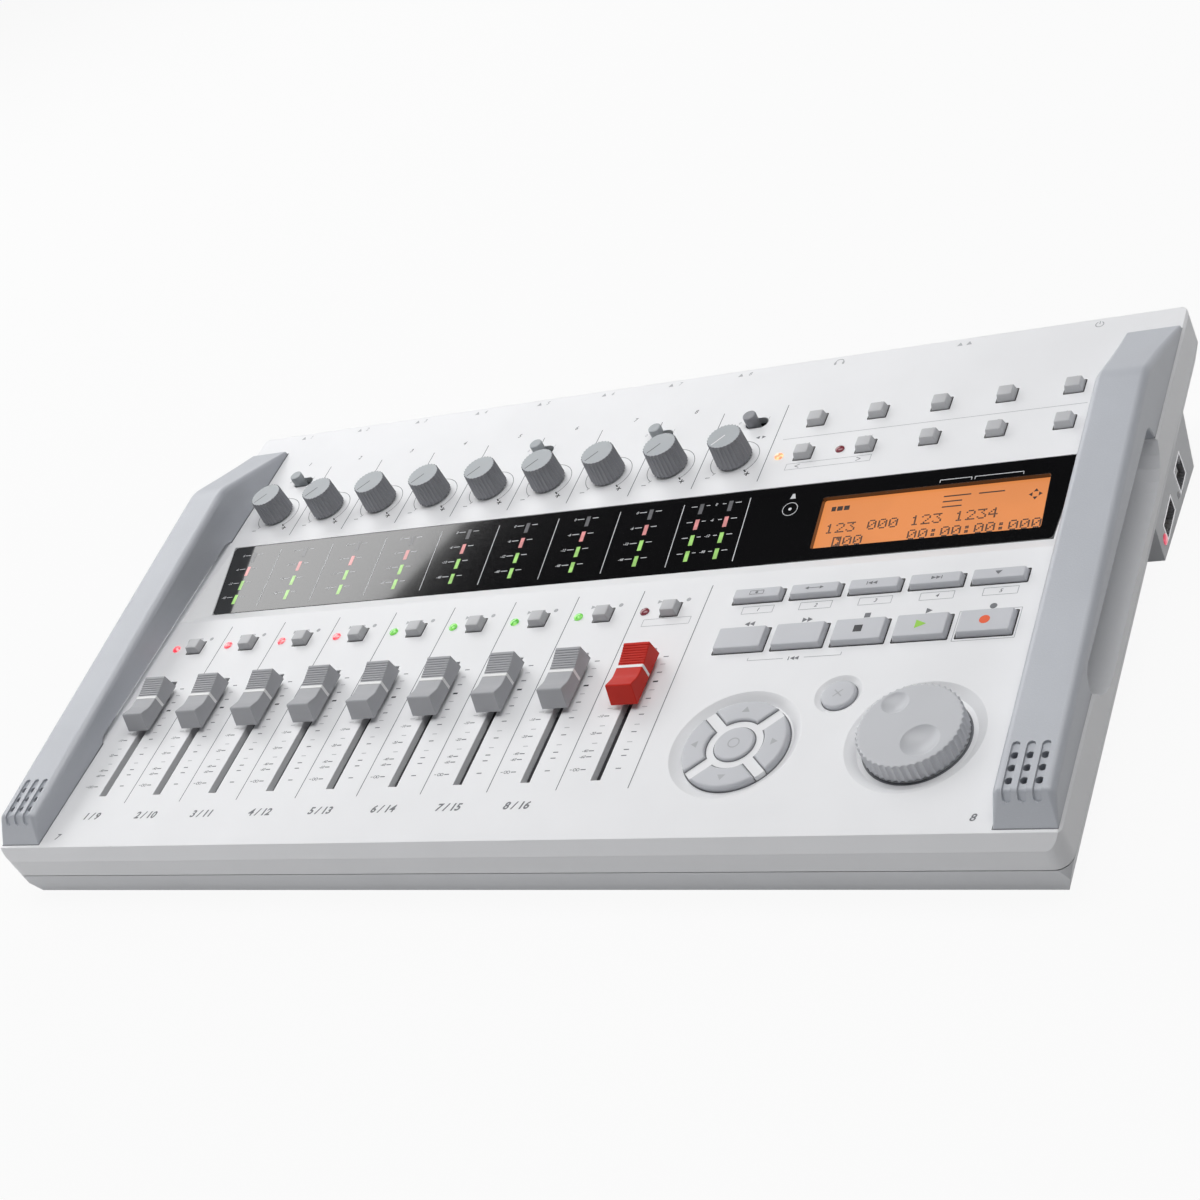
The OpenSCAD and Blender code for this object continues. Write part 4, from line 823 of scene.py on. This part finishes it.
for turn, nodeName in zip(quarters, ("cursor_up", "cursor_left", "cursor_down", "cursor_right")):
    s = padSet
    bm = bmesh.new()
    start = s["high"] - s["edge"]
    rings = [sectorRing(turn, 0, s["low"]), sectorRing(turn, 0, start)]
    rings += [sectorRing(turn, inset, start + rise) for inset, rise in roundOver(s["edge"])]
    rings.append(sectorRing(turn, s["edge"] + 0.9, s["high"] + 0.04))
    skin(bm, rings)
    swapPiece(nodeName, bm, "keyGrey")
    mark = bmesh.new()
    inkPoly(mark, spun([(-1.3, 11.9), (1.3, 11.9), (0, 14.0)], turn, s["x"], s["y"]), s["high"] + 0.06)
    inkPiece("mark." + dotted(nodeName), mark, "inkPale", body=nodeName)


def makeRoundKey(nodeName, x, y, r, low):
    high, edge = roundSet["high"], roundSet["edge"]
    bm = bmesh.new()
    profile = [(r, low), (r, high - edge)] + [(r - inset, high - edge + rise) for inset, rise in roundOver(edge)]
    turned(bm, x, y, profile + [(r * 0.6, high + 0.05), (0.4, high + 0.06)], n=72)
    swapPiece(nodeName, bm, "keyGrey")


px, py, ex, ey = padSet["x"], padSet["y"], exitSet["x"], exitSet["y"]
makeRoundKey("enter_key", px, py, padSet["enter"], padSet["low"])
makeRoundKey("exit_key", ex, ey, exitSet["r"], exitSet["low"])
enterSign, exitSign = bmesh.new(), bmesh.new()
inkArc(enterSign, px, py, 1.7, 0.4, 0, 360, roundSet["signZ"], steps=32)
for d in (-1, 1):
    inkBar(exitSign, ex - 1.3, ey - 1.3 * d, ex + 1.3, ey + 1.3 * d, 0.38, roundSet["signZ"])
inkPiece("mark.enter.key", enterSign, "inkPale", body="enter_key")
inkPiece("mark.exit.key", exitSign, "inkPale", body="exit_key")
gaps = bmesh.new()   # painted shadow: thin dark rings in the gaps round the round keys and under the dial's edge
for turn in quarters:
    a, b = sectorRing(turn, -0.38, 0), sectorRing(turn, 0.03, 0)
    for k in range(len(a) // 2 - 1, len(a)):   # both sides and the inner arc
        j = (k + 1) % len(a)
        inkPoly(gaps, (a[k], a[j], b[j], b[k]), padSet["base"])
gap = roundSet["gap"]
inkArc(gaps, px, py, padSet["enter"] + gap / 2, gap, 0, 360, padSet["base"], steps=64)
inkArc(gaps, px, py, padSet["outer"] + 0.2, 0.44, 0, 360, padSet["dish"], steps=96)
inkArc(gaps, ex, ey, exitSet["r"] + gap / 2, gap, 0, 360, exitSet["dish"], steps=64)
inkArc(gaps, dialSpot.x, dialSpot.y, 15.5, 0.9, 0, 360, padSet["dish"], steps=96)
inkPiece("round.gap.shadows", gaps, "inkGrey")
print("cursor pad made")


# jog dial: ribbed side, softly rounded top edge, a small and a large finger dimple
dialSet = {"r": 15.5, "low": -1.65, "high": 4.7, "flutes": 46, "per": 8, "deep": 0.55, "round": 0.28, "rings": 56,
           "stem": (1.9, -8.4), "dimples": ((4.6, -5.8, 5.6, 1.7), (-6.2, 8.4, 4.0, 1.15))}


def dialHeight(px, py):
    z = dialSet["high"]
    for cx, cy, r, deep in dialSet["dimples"]:
        d = math.hypot(px - cx, py - cy) / r
        if d < 1:
            z -= deep * (1 - d * d) ** 0.85
    return z


s = dialSet
r, low, high, ease = s["r"], s["low"], s["high"], s["round"]
dx, dy = dialSpot.x, dialSpot.y
steps = ((r - 0.5, low), (r, low + 0.4), (r, high - ease), (r - ease * 0.35, high - ease * 0.3), (r - ease, high))
rings = [flutedRing(dx, dy, q, z, s["flutes"], s["deep"], s["per"]) for q, z in steps]
for k in range(1, s["rings"]):
    flat = circle((r - ease - s["deep"] - 0.1) * (1 - k / s["rings"]), s["flutes"] * s["per"])
    rings.append([(dx + px, dy + py, dialHeight(px, py)) for px, py in flat])
bm = bmesh.new()
skin(bm, rings)
turned(bm, dx, dy, [s["stem"], (s["stem"][0], low + 0.5)], n=24)
swapPiece("jog_dial", bm, "dialGrey", sharp=40)
print("dial made")


# small slide switches
sliderSet = {"y": 181.4, "r": 2.4, "high": 4.0, "travel": 3.0, "shift": 2.6, "stem": 1.9, "stemZ": (-8.5, -2.0)}
between = lambda i: (columns[i] + columns[i + 1]) / 2
sliderX = {"hi_z_switch": columns[0], "phantom_switch_1": between(4), "phantom_switch_2": between(6),
           "monitor_switch": masterX}
sliderX = {name: x + sliderSet["shift"] for name, x in sliderX.items()}
for nodeName, x in sliderX.items():
    s = sliderSet
    r, high, cx = s["r"], s["high"], x - s["travel"] / 2
    bm = bmesh.new()
    turned(bm, cx, s["y"], [(r - 0.1, -2.4), (r - 0.1, 1.2), (r, 1.4), (r, high - 0.5), (r - 0.12, high - 0.18),
                            (r - 0.45, high), (r - 0.8, high - 0.02), (0.4, high - 0.12)], n=48)
    skin(bm, [ringAt(roundRect(s["stem"], s["stem"], 0.3, 3), cx, s["y"], z) for z in s["stemZ"]])
    swapPiece(nodeName, bm, "knobSide" if nodeName == "monitor_switch" else "knobTop")
print("slide switches made")


# display window with an aperture over the character display, meter bars and their scales
winSet = {"rear": 146.2, "long": 32.2, "tilt": 8.0, "rearHalf": 166.0, "slant": 4.0, "corner": 1.8, "thick": 2.0,
          "lcd": (119.85, -16.9, 75.0, 20.7), "module": (4.6, -4.45, -2.12, 0.15, 0.6),
          "glass": (2.0, -2.12, -1.75, 0.1, 0.4)}
winTurn = Matrix.Rotation(math.radians(winSet["tilt"]), 4, "X")
winFrame = panelFrame @ Matrix.Translation((0, winSet["rear"], 0)) @ winTurn
s = winSet
bm = bmesh.new()
rim = []
for inset, z in ((0.1, -s["thick"] + 0.06), (0.1, -0.22), (0.16, -0.08), (0.3, 0.0)):
    a, b = s["rearHalf"] - inset, s["rearHalf"] - s["slant"] - inset
    turn = s["corner"] - inset
    outline = [(-a, -inset, turn), (a, -inset, turn), (b, inset - s["long"], turn), (-b, inset - s["long"], turn)]
    rim.append(ringAt(roundedLine(outline, n=5, closed=True), 0, 0, z))
skin(bm, rim)
lx, ly, lw, ld = s["lcd"]
cut = bmesh.new()
skin(cut, [ringAt(roundRect(lw, ld, 0.8, 4), lx, ly, z) for z in (-5, 3)])
bm = carve(bm, [cut])
addPiece("display.window", bm, "case", "glossBlack", swap=("display_window",), place=winFrame, sharp=30)
for name, mat, solids in (("module", "socketBlack", ("lcd_module",)), ("glass", "lcdOrange", ())):
    more, low, high, edge, corner = s[name]
    bm = bmesh.new()
    softBlock(bm, lx, ly, lw + more, ld + more, low, high, 0, edge, corner)
    addPiece("lcd." + name, bm, "case", mat, swap=solids, place=winFrame)

# characters as cells of a dot grid
glyphs = {"0": ("01110", "10001", "10011", "10101", "11001", "10001", "01110"),
          "1": ("00100", "01100", "00100", "00100", "00100", "00100", "01110"),
          "2": ("01110", "10001", "00001", "00010", "00100", "01000", "11111"),
          "3": ("11111", "00010", "00100", "00010", "00001", "10001", "01110"),
          "4": ("00010", "00110", "01010", "10010", "11111", "00010", "00010"),
          ":": ("00000", "01100", "01100", "00000", "01100", "01100", "00000"),
          "#": ("11111", "10111", "10011", "10001", "10011", "10111", "11111")}
lcdInk = bmesh.new()
lcdSet = {"left": 84.9, "pitch": 3.607, "dot": 0.601, "line": 0.555, "fill": 0.92, "rows": (-16.4, -21.95), "z": -1.735,
          "battery": (2.35, -11.2), "cursor": (152.85, -12.6)}


def lcdText(text, cellAt, row):
    s = lcdSet
    w, h = s["dot"] * s["fill"], s["line"] * s["fill"]
    for k, ch in enumerate(text):
        for r, bits in enumerate(glyphs.get(ch, ())):
            for c, bit in enumerate(bits):
                if bit == "1":
                    x, y = s["left"] + (cellAt + k) * s["pitch"] + c * s["dot"], s["rows"][row] - r * s["line"]
                    inkRect(lcdInk, x, y, x + w, y - h, s["z"])


lcdText("123 000 123 1234", 0, 0)
lcdText("#00", 1, 1)
lcdText("00:00:00:000", 8, 1)
lcdZ = lcdSet["z"]
for k in range(3):   # battery
    x, y = lcdSet["left"] + lcdSet["battery"][0] * k, lcdSet["battery"][1]
    inkRect(lcdInk, x + (0.4 if k == 0 else 0), y, x + 1.9, y + 1.8, lcdZ)
for turn in quarters:   # cursor sign
    inkPoly(lcdInk, spun([(-0.8, 1.0), (0.8, 1.0), (0, 2.2)], turn, *lcdSet["cursor"]), lcdZ)
for a, b, y in ((123.1, 132.0, -9.9), (123.1, 129.4, -12.0), (123.2, 129.6, -14.1), (134.5, 142.8, -10.0)):
    inkAcross(lcdInk, a, b, y, 0.5, lcdZ)
inkPiece("lcd.marks", lcdInk, "lcdInk", place=winFrame)

meterInk = {"ledGreen": bmesh.new(), "ledPink": bmesh.new(), "ledDim": bmesh.new()}
meterSet = {"first": -5.8, "pitch": 6.6, "half": (0.75, 2.15), "tick": 1.2, "wide": 0.28, "digits": 1.5,
            "rule": (12.33, -3.2, -29.4, 0.3), "pair": 5.4, "beat": (71.3, -9.9)}
scaleInk = bmesh.new()
# the top row of segments is unlit and gets a faint painted glow
barPlan = (("ledDim", "0"), ("ledPink", "-6"), ("ledGreen", "-12"), ("ledGreen", "-48"))
for k, (mat, number) in enumerate(barPlan):
    s = meterSet
    v = s["first"] - s["pitch"] * k
    w, h = s["half"]
    for u in columns[:8] + [masterX - s["pair"], masterX + s["pair"]]:
        inkRect(meterInk[mat], u - w, v - h, u + w, v + h)
    v += s["tick"]
    for x in columns[:8]:
        inkAcross(scaleInk, x - 4.4, x - 1.7, v, s["wide"])
        inkAcross(scaleInk, x + 1.7, x + 4.0, v, s["wide"])
        inkDigits(scaleInk, number, x - 5.0, v, s["digits"], align="RIGHT")
    inkDigits(scaleInk, number, masterX, v, s["digits"])
    for d in (-1, 1):
        inkAcross(scaleInk, masterX + d * 3.7, masterX + d * 2.3, v, s["wide"])
        inkAcross(scaleInk, masterX + d * 7.1, masterX + d * 9.3, v, s["wide"])
step, *rule = meterSet["rule"]
for x in [c - step for c in columns[1:]] + [masterX + step]:
    inkAlong(scaleInk, x, *rule)
bx, by = meterSet["beat"]   # beat lamp ring
inkArc(scaleInk, bx, by, 2.6, 0.22, 0, 360)
inkDot(scaleInk, bx, by, 0.6)
inkPoly(scaleInk, [(bx - 1.0, by + 4.3), (bx + 1.0, by + 4.3), (bx + 0.4, by + 6.3), (bx - 0.4, by + 6.3)])
for a, b in ((121.6, 131.9), (133.0, 148.5)):   # brackets over the display
    inkAcross(scaleInk, a, b, -4.6, 0.25)
    for x in (a, b):
        inkAlong(scaleInk, x, -4.6, -5.6, 0.25)
for mat, bm in meterInk.items():
    inkPiece("meter." + mat, bm, mat, place=winFrame)
inkPiece("window.scales", scaleInk, "inkWhite", place=winFrame)
print("display made")


# lamps: little domes, lit as in the photograph, with painted highlights as pale patches in their glow, and the access
# lamp on the pod's side
lampSet = {"r": 1.22, "rim": 1.6, "low": -2.4, "seat": 0.02, "wall": 0.15, "high": 0.85, "shift": 8.85, "bank": 9.1,
           "access": (139.9, -31.5), "accessR": 1.75}
statusLamps = [(x - lampSet["shift"], statusSet["line"]) for x in columns]
bankLamps = [(x - lampSet["bank"], menuSet["rows"][0]) for x in menuX[:2]]
# the dark red lamps are unlit; their faint glow is painted light
lampPlan = {"lampRed": statusLamps[:4], "lampGreen": statusLamps[4:8], "lampDark": [statusLamps[8], bankLamps[1]],
            "lampAmber": [bankLamps[0]], "lampRose": []}
s = lampSet
dome = [(s["r"], s["low"]), (s["r"], s["seat"]), (s["rim"], s["seat"]), (s["rim"], s["wall"])]
for a in [math.radians(15 * k) for k in range(1, 6)]:
    dome.append((s["rim"] * math.cos(a), s["wall"] + (s["high"] - s["wall"]) * math.sin(a)))
for mat, spots in lampPlan.items():
    bm = bmesh.new()
    for x, y in spots:
        turned(bm, x, y, dome, n=24)
    if mat == "lampRose":
        (y, z), r = s["access"], s["accessR"]
        steps = ((180.0, 1.2), (183.52, 1.2), (183.52, r), (183.7, r), (183.95, r * 0.8), (184.05, r * 0.4))
        skin(bm, [[(x, y + a, z + b) for a, b in circle(q, 24)] for x, q in steps])
    addPiece("lamps." + mat, bm, "case", mat, swap=("indicator_lamps",) if mat == "lampRed" else ())
print("lamps made")


# data sockets: pale tongues with their contacts, and a small screw beside them
portSet = {"face": 183.5, "from": 170.0, "screw": (162.1, -33.8, 1.15),
           "tongues": (((149.0, -30.3, 10.0, 1.5), 182.4), ((169.5, -31.0, 5.6, 3.2), 182.0))}
pinShape = [(-0.4, 0.05), (0.4, 0.05), (0.4, -0.08), (-0.4, -0.08)]
s = portSet
bm, pins = bmesh.new(), bmesh.new()
for (y, z, w, h), front in s["tongues"]:
    outline = roundRect(w, h, 0.3, 3)
    steps = ((s["from"], 1), (front - 0.3, 1), (front, 0.93))
    skin(bm, [[(x, y + a * k, z + b * k) for a, b in outline] for x, k in steps])
    for k in range(4):
        pinY = y + (k - 1.5) * w * 0.23
        skin(pins, [[(x, pinY + a, z - h / 2 + b) for a, b in pinShape] for x in (s["from"] + 2, front - 1.2)])
addPiece("port.tongues", bm, "case", "lineWhite")
addPiece("port.pins", pins, "case", "goldMetal")
y, z, r = s["screw"]
steps = ((-0.3, 1), (0.06, 1), (0.1, 0.85), (0.02, 0.6), (0.02, 0.1))
bm = bmesh.new()
skin(bm, [[(s["face"] + x, y + a, z + b) for a, b in circle(r * k, 24)] for x, k in steps])
addPiece("port.screw", bm, "case", "screwMetal")

# back: metal rings and contacts of the input sockets, washers on the small ones, a line on the knob
rearSet = {"face": 214.0, "z": -11.0, "inputs": (-164.1, 28.13), "small": (68.6, 105.0, 123.0), "wellEnd": 202.0,
           "pinRing": 5.0, "pinR": 1.1, "knob": (88.0, 219.0, 4.4), "knobLine": (0.25, 0.8)}
inputX = [rearSet["inputs"][0] + rearSet["inputs"][1] * i for i in range(8)]


def hoop(bm, x, profile, n=40):   # closed ring round a socket
    rows = []
    for r, out in profile:
        rows.append([bm.verts.new((x + a, rearSet["face"] + out, rearSet["z"] + b)) for a, b in circle(r, n)])
    for a, b in zip(rows, rows[1:] + rows[:1]):
        for k in range(n):
            bm.faces.new((a[k], a[(k + 1) % n], b[(k + 1) % n], b[k]))


s = rearSet
hoops, pins = bmesh.new(), bmesh.new()
pinSteps = ((-0.3, 1), (0.35, 1), (0.5, 0.85), (0.2, 0.55), (0.2, 0.1))
for x in inputX:
    hoop(hoops, x, [(7.7, -0.2), (7.7, 0.2), (7.5, 0.35), (7.05, 0.35), (6.85, 0.2), (6.85, -0.6)])
    for turn in (90, 210, 330):
        (pinX, pinZ), = spun([(s["pinRing"], 0)], turn, x, s["z"])
        skin(pins, [[(pinX + a, s["wellEnd"] + y, pinZ + b) for a, b in circle(s["pinR"] * k, 20)] for y, k in pinSteps])
for x in s["small"]:
    hoop(hoops, x, [(4.8, -0.2), (4.8, 0.25), (4.55, 0.45), (3.55, 0.45), (3.35, 0.25), (3.35, -0.5)])
addPiece("jack.rings", hoops, "case", "shellMetal")
addPiece("jack.pins", pins, "case", "goldMetal")
kx, ky, kr = s["knob"]
w, start = s["knobLine"]
line = bmesh.new()
lineShape = [(-w, start), (w, start), (w, kr), (-w, kr)]
skin(line, [[(kx + a, y, s["z"] + b) for a, b in lineShape] for y in (ky - 0.2, ky + 0.04)])
addPiece("line.phones.knob", line, "phones_knob", "lineWhite")

# grip ribs and an arrow under the battery cover
ribSet = {"count": 6, "first": -9, "pitch": 3, "size": (34, 1.4), "arrow": [(-5, 11), (5, 11), (0, 15.5)]}
s = ribSet
low, high = [Vector(v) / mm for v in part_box("battery_cover")]
mid = (low + high) / 2
ribs = bmesh.new()
for k in range(s["count"]):
    rows = []
    for inset, z in ((0, 0.2), (0, -0.3), (0.25, -0.5)):
        outline = roundRect(*[v - 2 * inset for v in s["size"]], 0.4, 3)
        rows.append(ringAt(outline, mid.x, mid.y + s["first"] + s["pitch"] * k, low.z + z))
    skin(ribs, rows)
skin(ribs, [[(mid.x + a * k, mid.y + b, low.z + z) for a, b in s["arrow"]] for z, k in ((0.2, 1), (-0.3, 1), (-0.5, 0.9))])
addPiece("cover.ribs", ribs, "battery_cover", "caseGrey", place=tableFrame)
print("back and underside dressed")


# dark strip sunk into the seam between the upper and the lower case, along the front and both sides: painted shade
# inside the seam
seamSet = {"half": 188.0, "front": -2.6, "rear": 204.0, "corner": 5.0, "top": -11.64, "low": -11.96, "sunk": 0.32,
           "wide": 0.6}
s = seamSet
path = roundedLine([(-s["half"], s["rear"], 0), (-s["half"], s["front"], s["corner"]),
                    (s["half"], s["front"], s["corner"]), (s["half"], s["rear"], 0)], n=8)
rings = []
for k, p in enumerate(path):
    run = (path[min(len(path) - 1, k + 1)] - path[max(0, k - 1)]).normalized()
    away = Vector((run.y, -run.x))
    a, b = p - away * s["sunk"], p - away * (s["sunk"] + s["wide"])
    rings.append([(*a, s["top"]), (*b, s["top"]), (*b, s["low"]), (*a, s["low"])])
bm = bmesh.new()
skin(bm, rings)
addPiece("case.seam", bm, "case", "inkBlack")
print("seam made")


# printed marks on the panel
lineInk, paleInk, boldInk = bmesh.new(), bmesh.new(), bmesh.new()
printSet = {"rule": channelPitch / 2, "low": 26.6, "signs": 96.4, "numbers": 192.1, "names": 13.2, "rear": 209.0,
            "phones": 68.7, "outputs": 114, "power": 159.6, "transport": 83.3, "boxes": 89.3, "bracket": (93.75, 67.6),
            "bank": 156.0}
scaleY = (71.7, 68.5, 65.1, 61.3, 57.8, 54.35, 51.0, 47.9, 43.9, 40.95, 36.95, 33.95, 31.6, 26.6)
strong = (0, 2, 5, 7, 9, 11, 12, 13)
numbered = {7: "-10", 9: "-20", 11: "-40", 12: "-60"}
s = printSet
for i, x in enumerate(columns):
    for k, y in enumerate(scaleY):
        bm, wide = (boldInk, 0.62) if k == 3 else (lineInk, 0.36) if k in strong else (paleInk, 0.26)
        inkAcross(bm, x + 5.3, x + 7.1, y, wide)
        if k > 5:
            inkAcross(bm, x - 6.8, x - 5.0, y, wide)
        if k in numbered:
            inkDigits(lineInk, numbered[k], x - 7.2, y, 1.5, align="RIGHT")
    for d in (-0.55, 0.55):   # the low end's mark
        inkArc(lineInk, x - 8.3 + d, s["low"], 0.5, 0.2, 0, 360, steps=16)
    inkAcross(lineInk, x - 10.6, x - 9.8, s["low"], 0.22)
    for y0, y1 in ((18.8, 102.0), (150.4, 189.0)):   # rules between the channels
        inkAlong(lineInk, x + s["rule"], y0, y1, 0.3)
    # knob ring, its gap towards the user, with a tick at each end
    inkArc(lineInk, x, knobSet["y"], 8.8, 0.22, -48, 228, steps=64)
    inkBar(boldInk, x + 5.3, 157.2, x + 6.3, 156.0, 0.5)
    inkBar(lineInk, x - 5.3, 157.2, x - 6.2, 156.2, 0.25)
    inkAlong(lineInk, x, 171.4, 173.0, 0.25)
    if i < 8:
        inkDigits(lineInk, str(i + 1), x + 0.1, s["numbers"], 2.6)
        inkDigits(lineInk, "%d / %d" % (i + 1, i + 9), x + 0.7, s["names"], 3.9, bold=0.03)
    # plus and minus at the knob ring's ends, three small signs behind the status key
    inkAcross(boldInk, x + 6.1, x + 8.1, 155.0, 0.42)
    inkAlong(boldInk, x + 7.1, 154.0, 156.0, 0.42)
    inkAcross(lineInk, x - 8.6, x - 6.8, 155.1, 0.3)
    inkTri(paleInk, x - 4.6, s["signs"], 1.7, 1.6, 1)
    inkFrame(paleInk, x + 0.6, s["signs"], 1.2, 1.2, 0.28)
    inkDot(paleInk, x + 5.6, s["signs"], 0.8)
rear = s["rear"]
for i, x in enumerate(inputX):   # inputs behind
    inkPoly(paleInk, [(x - 3.2, rear), (x - 1.2, rear), (x - 2.2, rear + 1.8)])
    inkDigits(paleInk, str(i + 1), x + 1.4, rear + 0.8, 2.4)
inkArc(paleInk, s["phones"], rear + 0.2, 1.5, 0.35, 0, 180, steps=20)   # headphones and outputs
for d in (-1, 1):
    inkAlong(paleInk, s["phones"] + d * 1.5, rear + 0.3, rear - 1.0, 0.8)
    x = s["outputs"] + d * 1.6
    inkPoly(paleInk, [(x - 1.0, rear - 0.4), (x + 1.0, rear - 0.4), (x, rear + 1.4)])
inkArc(paleInk, s["power"], rear + 0.4, 1.3, 0.32, -240, 60, steps=24)
inkAlong(paleInk, s["power"], rear + 0.5, rear + 2.0, 0.32)
for x in sliderX.values():   # both ends of the slide switches
    inkDigits(paleInk, "0", x - 6.9, 182.4, 1.7)
    inkDigits(paleInk, "1", x + 3.9, 183.4, 1.7)
for d in (-1, 1):
    inkTri(lineInk, masterX + 6.6 + d * 1.2, 173.4, 1.5, 1.5, d)
for i, x in enumerate(menuX):
    inkDigits(paleInk, str(i + 1), x - 0.6, 183.5, 1.8)
    inkDigits(paleInk, ("1-8", "9-16", "6", "7", "8")[i], x - 0.6, 166.7, 1.8)
y = s["transport"]   # signs behind the transport keys
signX = [x + 0.4 for x in keyX]
for x, way in ((signX[0], -1), (signX[1], 1)):
    for k in (-0.85, 0.85):
        inkTri(lineInk, x + k, y, 1.7, 2.0, way)
inkRect(lineInk, signX[2] - 0.95, y - 0.95, signX[2] + 0.95, y + 0.95)
inkTri(lineInk, signX[3], y, 2.0, 2.2, 1)
inkDot(lineInk, signX[4], y, 1.1)
inkFrame(paleInk, keyX[4], keySet["line"], 18.6, 11.9, 0.2)
for i, x in enumerate(keyX):   # boxed numbers between the two key rows
    inkFrame(paleInk, x + 1.2, s["boxes"], 10.5, 3.0, 0.2)
    inkDigits(lineInk, str(i + 1), x + 1.2, s["boxes"], 2.0)
bx, by = s["bracket"]   # in front of three transport keys
for d in (-1, 1):
    inkAlong(paleInk, bx + d * 15.2, by, by + 1.2, 0.22)
    inkAcross(paleInk, bx + d * 15.2, bx + d * 3.4, by, 0.22)
    inkTri(lineInk, bx + 0.35 + d * 0.7, by - 0.1, 1.4, 1.5, -1)
inkAlong(lineInk, bx - 1.55, by - 0.85, by + 0.65, 0.3)
inkBar(paleInk, 59, 170.6, 163, 170.2, 0.22)
inkFrame(paleInk, 79.4, s["bank"], 30.2, 2.9, 0.2)
for x, way in ((68.4, -1), (90.2, 1)):
    for d in (-0.8, 0.8):
        inkBar(lineInk, x + way * 0.8, s["bank"], x - way * 0.8, s["bank"] + d, 0.25)
inkFrame(paleInk, masterX + 0.6, 87.2, 17.0, 3.0, 0.2)
inkDigits(lineInk, "7", -163.4, 4.4, 3.4, bold=0.02)
inkDigits(lineInk, "8", 163.6, 5.2, 3.4, bold=0.02)
inkPiece("panel.lines", lineInk, "inkGrey")
inkPiece("panel.lines.pale", paleInk, "inkPale")
inkPiece("panel.lines.bold", boldInk, "inkBlack")
print("panel printed")
